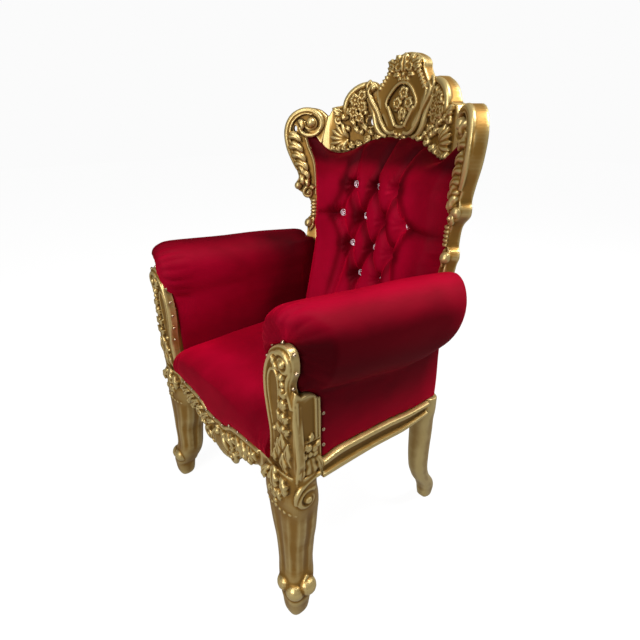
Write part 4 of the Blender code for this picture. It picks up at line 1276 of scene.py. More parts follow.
@dataclass
class FrontLegs:
    """The front legs with their feet, carved knees, side blocks and arm facings."""

    rows: tuple[tuple[float, ...], ...] = (
        (0.0, 0.305, -0.3005, 0.019, 0.019), (0.01, 0.305, -0.3005, 0.0245, 0.0245),
        (0.05, 0.305, -0.299, 0.0295, 0.0305), (0.064, 0.301, -0.2955, 0.0325, 0.034),
        (0.104, 0.288, -0.285, 0.037, 0.0375), (0.132, 0.282, -0.2805, 0.0375, 0.037),
        (0.2, 0.2795, -0.2765, 0.0405, 0.0405), (0.25, 0.2735, -0.2735, 0.052, 0.043),
        (0.3, 0.27, -0.2725, 0.059, 0.0448), (0.345, 0.268, -0.274, 0.0655, 0.044),
        (0.385, 0.2675, -0.2745, 0.0655, 0.039), (0.4195, 0.2687, -0.2735, 0.065, 0.0385),
    )
    flute_count: int = 8
    flute_depth: float = 0.042
    facing_front: float = -0.303
    facing_back: float = -0.2835
    facing_outer: float = 0.327
    block_back: float = -0.235
    knee_front: float = -0.316
    scallops: tuple[float, float, float, float] = (0.2695, -0.273, 0.057, 0.044)
    facing: tuple[Point, ...] = (
        (0.235, 0.41), (0.237, 0.448), (0.241, 0.487), (0.241, 0.515), (0.2355, 0.547), (0.23, 0.572),
        (0.229, 0.6), (0.2305, 0.625), (0.238, 0.656), (0.252, 0.69), (0.269, 0.706), (0.286, 0.7145),
        (0.302, 0.717), (0.314, 0.714), (0.323, 0.703), (0.3265, 0.685), (0.3245, 0.664), (0.317, 0.646),
        (0.3145, 0.632), (0.319, 0.616), (0.3265, 0.596), (0.327, 0.57), (0.327, 0.41),
    )

    def flutes(self, z: float, angle: float) -> float:
        """How deep the flutes of the shaft are at a place.

        Args:
            z: Height.
            angle: Angle round the shaft.

        Returns:
            The depth, as a share of the leg's width.
        """
        low, high = np.clip((z - 0.112) / 0.03, 0, 1), np.clip((0.318 - z) / 0.03, 0, 1)
        groove = max(math.cos(self.flute_count * angle), -0.25) + 0.25
        return self.flute_depth * float(low * high) * groove / 1.25

    def body(self, work: Carving) -> None:
        """Lofts the leg and adds the block and the facing board.

        Args:
            work: Where the shapes are heaped.
        """
        skin(work.heap, leg_rings(self.rows, 80, 0.006, self.flutes))
        facing = smooth_path(self.facing, 3, cyclic=True)
        work.plank(facing, self.facing_front, self.facing_back, soft=0.0025)
        side = smooth_path([
            (-0.3015, 0.4), (-0.265, 0.4), (self.block_back, 0.4), (self.block_back, 0.44),
            (self.block_back - 0.001, 0.5), (self.block_back, 0.56), (-0.243, 0.596), (-0.262, 0.6105),
            (-0.2829, 0.6115), (-0.3015, 0.612),
        ], 3, cyclic=True)
        work.plank(side, 0.243, self.facing_outer - 0.0006, sideways=True, soft=0.003)
        work.plank(((0.2025, 0.372), (0.3, 0.372), (0.3, 0.4195), (0.2025, 0.4195)), -0.3085, -0.28)

    def face(self, work: Carving) -> None:
        """Carves the front of the facing.

        Args:
            work: Where the shapes are heaped.
        """
        front = self.facing_front
        border = (
            (0.241, 0.43), (0.245, 0.47), (0.247, 0.505), (0.241, 0.545), (0.235, 0.59),
            (0.2365, 0.63), (0.246, 0.662), (0.262, 0.686), (0.28, 0.698), (0.3, 0.702),
        )
        work.band(border, front, (0.0036, 0.0046, 0.0046, 0.005, 0.0046))
        lancet = (
            (0.256, 0.462), (0.2575, 0.51), (0.251, 0.555), (0.246, 0.6), (0.248, 0.632),
            (0.257, 0.652), (0.27, 0.656), (0.279, 0.64), (0.28, 0.61), (0.277, 0.57),
            (0.274, 0.53),
        )
        work.band(lancet, front, (0.0026, 0.0036, 0.0036, 0.0028))
        scroll = (0.0062, 0.0062, 0.0052, 0.0045)
        work.volute((0.3, front - 0.001, 0.681), 0.025, 0.0065, 0.4, -1.35, 26, scroll)
        work.bead((0.3, front - 0.004, 0.681), 0.0078)
        rim = (
            (0.32, 0.69), (0.319, 0.668), (0.311, 0.65), (0.308, 0.632), (0.313, 0.612),
            (0.32, 0.59),
        )
        work.band(rim, front - 0.001, (0.0036, 0.0044, 0.004, 0.0034))
        work.leaves((
            (0.292, 0.664, 0.276, 0.682, 0.013, -0.2), (0.286, 0.676, 0.268, 0.69, 0.012, -0.2),
            (0.3, 0.602, 0.288, 0.628, 0.013, 0.15), (0.302, 0.602, 0.312, 0.626, 0.012, -0.15),
            (0.294, 0.572, 0.282, 0.6, 0.015, 0.2), (0.3, 0.572, 0.311, 0.602, 0.015, -0.2),
            (0.29, 0.54, 0.276, 0.572, 0.015, 0.2), (0.304, 0.54, 0.317, 0.572, 0.015, -0.2),
            (0.292, 0.51, 0.272, 0.54, 0.016, 0.2), (0.302, 0.51, 0.32, 0.544, 0.016, -0.2),
            (0.29, 0.466, 0.292, 0.524, 0.024, 0.0), (0.27, 0.44, 0.276, 0.506, 0.02, 0.06),
            (0.31, 0.44, 0.312, 0.51, 0.02, -0.06), (0.292, 0.414, 0.29, 0.472, 0.024, 0.0),
            (0.252, 0.424, 0.262, 0.47, 0.014, 0.1),
        ), front + 0.002, front - 0.004, 0.0095, 2, hook=0.003)
        work.beads((
            (0.296, 0.653, 0.0082), (0.2985, 0.6385, 0.0072), (0.299, 0.626, 0.0062),
            (0.2975, 0.598, 0.0072), (0.297, 0.566, 0.0076), (0.2965, 0.536, 0.008),
            (0.264, 0.52, 0.0056), (0.266, 0.48, 0.005),
        ), front - 0.003)

    def flank(self, work: Carving) -> None:
        """Carves the outer side of the block: a framed panel, roses and a broad plain leaf.

        Args:
            work: Where the shapes are heaped.
        """
        side = self.facing_outer - 0.0006
        for y, low, high, radius in (
            (-0.242, 0.5, 0.596, 0.003), (-0.251, 0.506, 0.6, 0.0038), (-0.295, 0.5, 0.604, 0.0026),
        ):
            work.scroll([(side, y, low), (side, y, (low + high) / 2), (side, y, high)], (radius, radius))
        sill = [(side, y, z) for y, z in ((-0.294, 0.506), (-0.27, 0.503), (-0.242, 0.502))]
        work.scroll(sill, (0.0032, 0.0032))
        for y, z, radius in ((-0.272, 0.488, 0.0095), (-0.256, 0.48, 0.0085), (-0.268, 0.47, 0.0075)):
            work.bead((side - 0.001, y, z), radius)
        for y, z, y1, z1, width, bow in (
            (-0.27, 0.486, -0.288, 0.496, 0.013, 0.1), (-0.256, 0.484, -0.242, 0.494, 0.012, 0.1),
            (-0.262, 0.476, -0.248, 0.462, 0.013, 0.1), (-0.276, 0.478, -0.29, 0.466, 0.013, -0.1),
            (-0.266, 0.5, -0.262, 0.522, 0.012, 0.0), (-0.268, 0.462, -0.264, 0.404, 0.034, 0.0),
            (-0.282, 0.456, -0.292, 0.41, 0.02, 0.1), (-0.252, 0.458, -0.242, 0.412, 0.018, -0.1),
        ):
            foot, tip = (side, y, z), (side + 0.001, y1, z1)
            work.leaf(foot, tip, width, 0.0065, lobes=2, bow=bow, outward=ALONG_X, hook=0.001)

    def knee(self, work: Carving) -> None:
        """Carves the knee: a drop of husks in front, a volute outside and a scalloped band below.

        Args:
            work: Where the shapes are heaped.
        """
        front = self.knee_front
        work.leaves((
            (0.262, 0.424, 0.268, 0.366, 0.03, 0.0), (0.244, 0.41, 0.228, 0.366, 0.02, 0.15),
            (0.286, 0.41, 0.304, 0.368, 0.02, -0.15), (0.266, 0.386, 0.268, 0.34, 0.022, 0.0),
            (0.262, 0.372, 0.248, 0.346, 0.014, 0.15), (0.272, 0.372, 0.288, 0.346, 0.014, -0.15),
        ), front + 0.003, front - 0.001, 0.01, 3, hook=0.002)
        work.beads(((0.269, 0.336, 0.0072), (0.2695, 0.323, 0.006), (0.247, 0.386, 0.006)), front)
        volute = spiral((0.329, -0.279, 0.36), 0.027, 0.007, 0.12, 1.45, 30, ALONG_Y, ALONG_Z)
        work.scroll(volute, (0.0058, 0.0064, 0.0056, 0.005))
        work.bead((0.3325, -0.279, 0.36), 0.0088)
        arch = smooth_path([
            (0.326, -0.306, 0.356), (0.3285, -0.305, 0.38), (0.329, -0.29, 0.398),
            (0.329, -0.265, 0.408), (0.329, -0.242, 0.408),
        ], 4)
        work.scroll(arch, (0.004, 0.006, 0.0066, 0.0058))
        cx, cy, half_x, half_y = self.scallops
        for k in range(14):
            angle = math.radians(188 + 13.5 * k)
            c, s = math.cos(angle), math.sin(angle)
            reach = square_reach(c, s)
            work.bead((cx + half_x * reach * c, cy + half_y * reach * s, 0.319), 0.0042)

    def feet(self, work: Carving) -> None:
        """Adds the knuckles round the foot.

        Args:
            work: Where the shapes are heaped.
        """
        for x, y, z, radius in (
            (0.315, -0.3095, 0.08, 0.0235), (0.287, -0.3125, 0.0885, 0.0238),
            (0.3255, -0.2835, 0.088, 0.0232), (0.278, -0.274, 0.085, 0.015),
        ):
            work.bead((x, y, z), radius)
            out = Vector((x - 0.295, y + 0.291, 0)).normalized()
            foot, tip = (x - 0.004 * out.x, y - 0.004 * out.y, 0.052), (x, y, z + 0.03)
            work.leaf(foot, tip, 2.0 * radius, 0.012, vein=0.0, outward=out)

    def build(self, gold: bpy.types.Material) -> None:
        """Carves and gilds both front legs.

        Args:
            gold: The gilding.
        """
        work = Carving(voxel=0.0018)
        self.body(work)
        self.face(work)
        self.flank(work)
        self.knee(work)
        self.feet(work)
        mesh = work.fuse(keep=0.6)
        points = coordinates(mesh)
        points[:, 2] = np.maximum(points[:, 2], 0.0)
        place(mesh, points)
        finish_pair("front_leg_carving", mesh, gold, "front_leg")


@dataclass
class BackLegs:
    """The plain sabre back legs with the blocks that take the rails."""

    rows: tuple[tuple[float, ...], ...] = (
        (0.0, 0.279, 0.229, 0.019, 0.02), (0.03, 0.28, 0.227, 0.0225, 0.024),
        (0.06, 0.283, 0.216, 0.0245, 0.024), (0.114, 0.287, 0.182, 0.0235, 0.0235),
        (0.16, 0.2885, 0.1655, 0.0255, 0.0245), (0.22, 0.2895, 0.159, 0.0275, 0.026),
        (0.3, 0.292, 0.1545, 0.03, 0.026), (0.35, 0.297, 0.1475, 0.0305, 0.0235),
        (0.385, 0.3015, 0.146, 0.031, 0.0205), (0.4206, 0.3015, 0.146, 0.031, 0.0205),
    )
    block: tuple[Point, ...] = ((0.2625, 0.386), (0.338, 0.386), (0.338, 0.42), (0.2625, 0.42))

    def build(self, gold: bpy.types.Material) -> None:
        """Lofts and gilds both back legs.

        Args:
            gold: The gilding.
        """
        work = Carving(voxel=0.0024)
        skin(work.heap, leg_rings(self.rows, 40, 0.008, lambda z, angle: 0.0))
        block = Carving()
        block.plank(self.block, 0.0015, 0.042, soft=0.003)
        long_edges = [e for e in block.heap.edges if e.calc_length() > 0.02]
        bmesh.ops.subdivide_edges(block.heap, edges=long_edges, cuts=6)
        mesh = to_mesh(block.heap, "block")
        place(mesh, BARREL.bend(coordinates(mesh)))
        work.absorb(mesh)
        mesh = work.fuse(keep=0.6, soften=3)
        points = coordinates(mesh)
        points[:, 2] = np.clip(points[:, 2], 0.0, self.rows[-1][0])
        place(mesh, points)
        finish_pair("back_leg_gilded", mesh, gold, "back_leg")


@dataclass
class FrontRail:
    """The front rail: a top moulding over a carved apron of leaf curls and a fluted shell."""

    front: float = -0.308
    back: float = -0.28
    lean: float = 0.12
    top: tuple[Point, ...] = (
        (0.0, 0.391), (0.04, 0.392), (0.06, 0.402), (0.08, 0.412), (0.12, 0.417), (0.201, 0.42),
    )
    bottom: tuple[Point, ...] = (
        (0.201, 0.37), (0.185, 0.365), (0.165, 0.351), (0.15, 0.344), (0.138, 0.343), (0.121, 0.351),
        (0.108, 0.345), (0.096, 0.33), (0.082, 0.308), (0.066, 0.292), (0.048, 0.286), (0.03, 0.272),
        (0.0, 0.264),
    )

    def carve(self, work: Carving) -> None:
        """Heaps up the rail and its carving.

        Args:
            work: Where the shapes are heaped.
        """
        front = self.front
        work.plank(smooth_path(mirrored((*self.top, *self.bottom)), 3, cyclic=True), front, self.back)
        for k in range(-4, 5):
            angle = math.radians(15 * k)
            tip = (0.052 * math.sin(angle), front - 0.003, 0.34 - 0.074 * math.cos(angle))
            work.leaf((0.004 * k, front + 0.002, 0.352), tip, 0.0165, 0.0125, vein=0.0)
        work.bead((0.0, front - 0.004, 0.354), 0.01)
        large, small = (0.0072, 0.007, 0.0056, 0.005), (0.0056, 0.0052, 0.0045)
        for side in (1, -1):
            work.volute((0.06, front - 0.005, 0.308), 0.021, 0.006, 0.22, -1.2, 24, large, side)
            work.bead((side * 0.06, front - 0.009, 0.308), 0.0066)
            work.volute((0.102, front - 0.004, 0.353), 0.0145, 0.0045, 0.3, -1.2, 20, small, side)
            work.leaves((
                (0.016, 0.372, 0.05, 0.35, 0.018, -0.15), (0.044, 0.378, 0.078, 0.346, 0.02, -0.15),
                (0.07, 0.386, 0.1, 0.372, 0.016, -0.15), (0.078, 0.352, 0.07, 0.328, 0.016, 0.1),
                (0.092, 0.396, 0.128, 0.362, 0.018, -0.15), (0.118, 0.402, 0.152, 0.362, 0.019, -0.15),
                (0.146, 0.404, 0.178, 0.374, 0.018, -0.15), (0.164, 0.408, 0.196, 0.388, 0.015, -0.12),
                (0.128, 0.372, 0.14, 0.348, 0.016, 0.0), (0.152, 0.372, 0.166, 0.354, 0.014, 0.0),
                (0.086, 0.33, 0.094, 0.344, 0.014, 0.0), (0.036, 0.3, 0.046, 0.288, 0.016, 0.0),
                (0.006, 0.38, 0.024, 0.376, 0.012, 0.0),
            ), front + 0.002, front - 0.005, 0.0125, 2, side, hook=0.003)
            work.bead((side * 0.034, front - 0.004, 0.364), 0.006)
        proud = front - 0.0005
        right = [(x, proud, z - 0.0062) for x, z in self.top if x < 0.2]
        left = [(-x, y, z) for x, y, z in reversed(right[1:])]
        edge = smooth_path([*left, *right, (0.1975, proud, 0.4135)], 4)
        edge = [(-0.1975, proud, 0.4135), *edge]
        work.scroll(edge, (0.0054, 0.0054))
        fillet = [(x * 0.985, y, z - 0.01) for x, y, z in edge]
        work.scroll(fillet, (0.0026, 0.0026))

    def build(self, gold: bpy.types.Material) -> None:
        """Carves and gilds the front rail.

        Args:
            gold: The gilding.
        """
        work = Carving(voxel=0.0016)
        self.carve(work)

        def tilt(points: np.ndarray) -> np.ndarray:
            """Leans the apron back under the seat.

            Args:
                points: N by 3.

            Returns:
                The points, leaned.
            """
            leaned = points.copy()
            leaned[:, 1] += self.lean * np.maximum(0.0, 0.385 - points[:, 2])
            return leaned

        mesh = work.fuse(tilt, keep=0.66)
        finish_piece("front_rail_carving", mesh, [gold], ["front_rail"], Slot.GOLD)


@dataclass
class SideRails:
    """The side rails: a round moulding above, a hollow, and a fillet below."""

    top: tuple[Point, ...] = (
        (-0.2345, 0.436), (-0.178, 0.444), (-0.124, 0.441), (-0.035, 0.434), (0.065, 0.422), (0.1225, 0.4206),
    )
    bottom: tuple[Point, ...] = (
        (-0.2345, 0.388), (-0.09, 0.384), (-0.03, 0.379), (0.03, 0.374), (0.1225, 0.379),
    )
    inner: float = 0.288
    outer: float = 0.335
    section: tuple[Point, ...] = (
        (0.0, 0.0), (0.36, 0.0), (0.6, 0.0), (0.8, 0.01), (0.95, 0.05), (1.0, 0.12), (1.0, 0.2),
        (0.955, 0.265), (0.865, 0.3), (0.85, 0.33), (0.835, 0.39), (0.8, 0.47), (0.775, 0.56),
        (0.78, 0.64), (0.815, 0.7), (0.865, 0.725), (0.88, 0.755), (0.935, 0.775), (0.965, 0.83),
        (0.965, 0.9), (0.925, 0.96), (0.85, 0.995), (0.6, 1.0), (0.36, 1.0), (0.0, 1.0), (0.0, 0.75),
        (0.0, 0.5), (0.0, 0.25),
    )

    def build(self, gold: bpy.types.Material) -> None:
        """Sweeps and gilds both side rails.

        Args:
            gold: The gilding.
        """
        places = np.linspace(self.top[0][0], self.top[-1][0], 60)
        upper, lower = table(places, self.top, 1), table(places, self.bottom, 1)
        width = self.outer - self.inner
        rings = np.array([
            [(self.inner + width * a, y, high + (low - high) * b) for a, b in self.section]
            for y, high, low in zip(places, upper, lower)
        ])
        work = Carving(voxel=0.0019)
        skin(work.heap, rings)
        finish_pair("side_rail_moulded", work.fuse(keep=0.6), gold, "side_rail")


@dataclass
class BackRail:
    """The plain curved back rail."""

    reach: float = 0.2606
    low: float = 0.3862
    high: float = 0.4202
    depth: float = 0.042

    def build(self, gold: bpy.types.Material) -> None:
        """Bends and gilds the back rail.

        Args:
            gold: The gilding.
        """
        work = Carving(voxel=0.0026)
        right, left = ((self.reach, self.low), (self.reach, self.high)), (-self.reach, self.high)
        work.plank(((-self.reach, self.low), *right, left), 0.0, self.depth, soft=0.004)
        mesh = work.fuse(BARREL.bend, keep=0.6)
        finish_piece("back_rail_gilded", mesh, [gold], ["back_rail"], Slot.GOLD)


# ---------------------------------------------------------------- upholstered back
def upholster(
    outline: Sequence[Sequence[float]], step: float,
    face: Callable[[np.ndarray, np.ndarray, np.ndarray], np.ndarray],
    back: float, folds: tuple[Sequence[float], Sequence[float]],
) -> bpy.types.Mesh:
    """Covers an outline with a closed panel, shaped in front and plain behind, and bends it to the barrel.

    Args:
        outline: Corners, in sheet coordinates.
        step: Size of the face's mesh.
        face: Depth of the face by x, height and distance inside the outline.
        back: Depth of the back.
        folds: Uprights and levels where the plain back folds.

    Returns:
        The panel, bent.
    """
    corners = np.array([tuple(c) for c in outline], float)
    low, high = corners.min(0), corners.max(0)
    width, height = high - low
    columns, rows = (int(math.ceil(size / step)) for size in (width, height))
    bm = bmesh.new()
    verts = bmesh.ops.create_grid(bm, x_segments=columns, y_segments=rows, size=0.5)["verts"]
    for vert in verts:
        vert.co = (low[0] + (vert.co.x + 0.5) * width, 0.0, low[1] + (vert.co.y + 0.5) * height)
    faces = list(bm.faces)
    centres = np.array([f.calc_center_median() for f in faces])[:, (0, 2)]
    outside = [f for f, d in zip(faces, outline_distance(centres, corners)) if d > 0]
    bmesh.ops.delete(bm, geom=outside, context="FACES")
    rim = [v for v in bm.verts if v.is_boundary]
    for _ in range(2):
        spots = np.array([v.co for v in rim])[:, (0, 2)]
        away = outline_distance(spots, corners)
        ahead, behind = (
            np.stack([outline_distance(spots + way * probe, corners) for probe in PROBE * np.eye(2)], axis=1)
            for way in (1, -1)
        )
        slope = (ahead - behind) / (2 * PROBE)
        for vert, (dx, dz) in zip(rim, -away[:, None] * slope):
            vert.co.x += dx
            vert.co.z += dz
    verts = list(bm.verts)
    spots = np.array([v.co for v in verts])
    inset = np.maximum(-outline_distance(spots[:, (0, 2)], corners), 0)
    for vert, depth in zip(verts, face(spots[:, 0], spots[:, 2], inset)):
        vert.co.y = depth
    border = [e for e in bm.edges if e.is_boundary]
    grown = bmesh.ops.extrude_edge_only(bm, edges=border)["geom"]
    for item in grown:
        if isinstance(item, bmesh.types.BMVert):
            item.co.y = back
    border = [e for e in bm.edges if e.is_boundary]
    plain = bmesh.ops.holes_fill(bm, edges=border, sides=0)["faces"]
    for axis, places in zip((0, 2), folds):
        for value in places:
            spot, normal = Vector(), Vector()
            spot[axis], normal[axis] = value, 1.0
            flat = [
                f for f in bm.faces
                if len(f.verts) > 4 or f in plain or all(abs(v.co.y - back) < WELD for v in f.verts)
            ]
            edges, corner_verts = (e for f in flat for e in f.edges), (v for f in flat for v in f.verts)
            parts = dict.fromkeys([*flat, *edges, *corner_verts])
            bmesh.ops.bisect_plane(bm, geom=list(parts), dist=WELD, plane_co=spot, plane_no=normal)
    bmesh.ops.triangulate(bm, faces=[f for f in bm.faces if len(f.verts) > 4])
    bmesh.ops.recalc_face_normals(bm, faces=bm.faces)
    mesh = to_mesh(bm, "panel")
    place(mesh, BARREL.bend(coordinates(mesh)))
    return mesh


@dataclass(frozen=True)
class Tufting:
    """The deep buttoning of the inside back: diamonds between buttons, and pleats out to the frame."""

    pitch_x: float = 0.1046
    pitch_z: float = 0.0864
    top: float = 0.9073
    rows: tuple[int, ...] = (3, 4, 3, 2)
    edge: float = -0.006
    crown: float = -0.096
    lower: float = -0.055
    half_width: float = 0.3
    fullness: float = 2.6
    bulge: float = 0.009
    fold_depth: float = 0.0285
    fold_width: float = 0.03
    tuft_depth: float = 0.02
    tuft_width: float = 0.03
    button: float = 0.0105
    cad_fold: float = 0.016
    cad_tuft: float = 0.018
    lift: float = 0.012

    def buttons(self) -> list[tuple[int, int, float, float]]:
        """Row, number, x and height of each button.

        Returns:
            One row of four numbers for each button.
        """
        return [
            (row + 1, number + 1, (number - (count - 1) / 2) * self.pitch_x, self.top - row * self.pitch_z)
            for row, count in enumerate(self.rows) for number in range(count)
        ]

    def folds(self) -> list[tuple[Point, Point]]:
        """The folds between buttons and out to the frame, as end points.

        Returns:
            The pairs of ends.
        """
        places = [(x, z) for _, _, x, z in self.buttons()]
        lines = [
            ((x, z), (x1, z1)) for x, z in places for x1, z1 in places
            if abs(z - z1 - self.pitch_z) < 0.01 and abs(abs(x - x1) - self.pitch_x / 2) < 0.01
        ]
        lines += [((x, z), (x * 1.1, 1.06)) for x, z in places[:3]]
        for side in (1, -1):
            lines.append(((side * 1.5 * self.pitch_x, places[3][1]), (side * 0.3, places[3][1] - 0.012)))
            lines.append(((side * self.pitch_x, places[7][1]), (side * 0.16, 0.5)))
            lines.append(((side * 0.5 * self.pitch_x, places[10][1]), (side * 0.055, 0.47)))
        return lines

    def crowned(self, x: np.ndarray, z: np.ndarray) -> tuple[np.ndarray, np.ndarray]:
        """The stuffing before it is buttoned.

        Args:
            x: Distances along the curve.
            z: Heights.

        Returns:
            Its depth, and how strong the folds are there.
        """
        across = np.maximum(0.0, 1.0 - (np.abs(x) / self.half_width) ** self.fullness)
        top = np.clip((1.045 - z) / 0.15, 0, 1)
        low = np.clip((z - 0.42) / 0.4, 0, 1)
        full = self.edge + (self.crown - self.edge) * across ** 0.8 * top ** 1.5 * (2.5 - 1.5 * top)
        return self.lower * across ** 0.5 * (1 - low) + full * low, np.minimum(1.0, 2 * low) * across ** 0.5

    def seat(self, x: float, z: float) -> float:
        """Depth of a button's middle."""
        depth, strength = self.crowned(np.array([x]), np.array([z]))
        return float(depth[0] + self.cad_fold * strength[0] + self.cad_tuft - self.lift)

    def creases(
        self, x: np.ndarray, z: np.ndarray,
    ) -> tuple[np.ndarray, np.ndarray, list[tuple[np.ndarray, np.ndarray]]]:
        """Measures the way to the nearest fold and button.

        Args:
            x: Distances along the curve.
            z: Heights.

        Returns:
            Distances to a fold and to the rim of a button, and each button's distances and angles.
        """
        knots = [(np.hypot(x - bx, z - bz), np.arctan2(z - bz, x - bx)) for _, _, bx, bz in self.buttons()]
        knot = np.maximum(0.0, np.min([reach for reach, _ in knots], axis=0) - self.button)
        fold = np.min([segment_distance(x, z, *ends) for ends in self.folds()], axis=0)
        return np.minimum(fold, knot), knot, knots

    def painted_light(self, x: np.ndarray, z: np.ndarray) -> np.ndarray:
        """Painted light on the buttoned face: painted shadow under the crest, painted shade in the creases
        and round the buttons, and a painted highlight lower down in the middle.

        Args:
            x: Distances along the curve.
            z: Heights.

        Returns:
            The painted light.
        """
        fold, knot, _ = self.creases(x, z)
        _, strength = self.crowned(x, z)
        # A painted highlight lower down in the middle, then a painted shadow under the crest.
        lit = 0.75 * ease(z, 0.95, 0.89) * (1 - 0.8 * ease(x, 0.13, 0.2))
        lit_field_and_crest_shadow = lit - 1.0 * ease(z, 0.945, 0.985)
        # Painted shade in the creases and round the buttons.
        crease_shade = 0.75 * np.exp(-((fold / 0.012) ** 2)) + 0.55 * np.exp(-((knot / 0.018) ** 2))
        return lit_field_and_crest_shadow - strength * crease_shade

    def face(self, x: np.ndarray, z: np.ndarray, inset: np.ndarray) -> np.ndarray:
        """Depth of the buttoned face.

        Args:
            x: Distances along the curve.
            z: Heights.
            inset: Distances inside the frame.

        Returns:
            Depths.
        """
        depth, strength = self.crowned(x, z)
        fold, knot, knots = self.creases(x, z)
        slack = 0.0016 * np.sin(31 * x + 3) * np.sin(27 * z) + 0.0008 * np.sin(70 * x - 50 * z)
        sides = np.clip(1 - fold / self.fold_width, 0, 1)
        throat = np.clip(1 - knot / self.tuft_width, 0, 1)
        tight = 0.78 + 0.22 * np.exp(-((knot / 0.036) ** 2))
        pinch = self.fold_depth * strength * tight * (1 - np.sqrt(1 - 0.88 * sides ** 2))
        pinch += self.tuft_depth * (1 - np.sqrt(1 - 0.97 * throat ** 2)) - self.bulge * strength
        for reach, angle in knots:
            fan = np.exp(-(((reach - 0.026) / 0.013) ** 2))
            pinch += 0.0013 * fan * np.cos(11 * angle + 9 * z)
        full = np.minimum(depth + pinch + slack * strength, self.edge)
        roll = np.clip(inset / 0.02, 0, 1)
        return (self.edge + 0.009) + (full - self.edge - 0.009) * np.sqrt(1 - (1 - roll) ** 2)


TUFTS = Tufting()


@dataclass
class InsideBack:
    """The buttoned pad and the plain outside back, both set in the opening of the frame."""

    step: float = 0.0031
    back: float = 0.016
    board: float = 0.03
    tuck: float = 0.0022
    post: tuple[Point, ...] = (
        (0.2608, 0.4212), (0.2608, 0.64), (0.2618, 0.735), (0.2733, 0.772), (0.2703, 0.8), (0.2693, 0.86),
        (0.2733, 0.93), (0.2803, 0.967), (0.2953, 1.0), (0.304, 1.028), (0.2985, 1.035),
        (0.278, 1.03),
    )
    crest: tuple[Point, ...] = (
        (0.259, 1.0112), (0.2363, 0.9922), (0.212, 0.9852), (0.19, 0.9852), (0.16, 0.9932),
        (0.135, 1.0052), (0.106, 1.0192), (0.08, 1.0262), (0.043, 1.0312), (0.0, 1.0322),
    )

    def outline(self) -> list[Point]:
        """The opening that the upholstery fills.

        Returns:
            Its corners.
        """
        post = [(x + self.tuck, z) for x, z in self.post]
        crest = [(x, z + self.tuck) for x, z in self.crest]
        half = [(0.0, post[0][1]), post[0], *smooth_path(post[1:], 2), *smooth_path(crest, 2)]
        return mirrored([(p[0], p[1]) for p in half])

    def build(self, velvet: bpy.types.Material) -> None:
        """Upholsters the inside and the outside of the back.

        Args:
            velvet: The velvet.
        """
        uprights = [0.026 * k for k in range(-11, 12)]
        levels = [z for z, _ in BARREL.profile[1:-1]]
        levels += [z + s for z in levels for s in (0.015, -0.015)]
        pad = upholster(self.outline(), self.step, TUFTS.face, self.back, (uprights, levels))
        x, _, z = coordinates(pad).T
        # Painted light on the pad: painted shadow under the crest, painted shade in the creases.
        paint_light(pad, TUFTS.painted_light(BARREL.arc(x), z))
        piece = finish_piece("back_pad_buttoned", pad, [velvet], ["back_pad"], Slot.VELVET)

        def outside(x: np.ndarray, z: np.ndarray, inset: np.ndarray) -> np.ndarray:
            """Depth of the outside cover, drawn tight with a soft edge.

            Args:
                x: Distances along the curve.
                z: Heights.
                inset: Distances inside the frame.

            Returns:
                The depths.
            """
            roll = np.clip(inset / 0.012, 0, 1)
            edge = 0.003 * np.sqrt(1 - (1 - roll) ** 2)
            return self.board - 0.005 + edge + 0.0004 * np.sin(40 * x) * np.sin(17 * z)

        panel = upholster(self.outline(), 0.0065, outside, self.back + 0.0016, (uprights, levels))
        piece = finish_piece("back_panel_covered", panel, [velvet], ["back_panel"], Slot.VELVET)


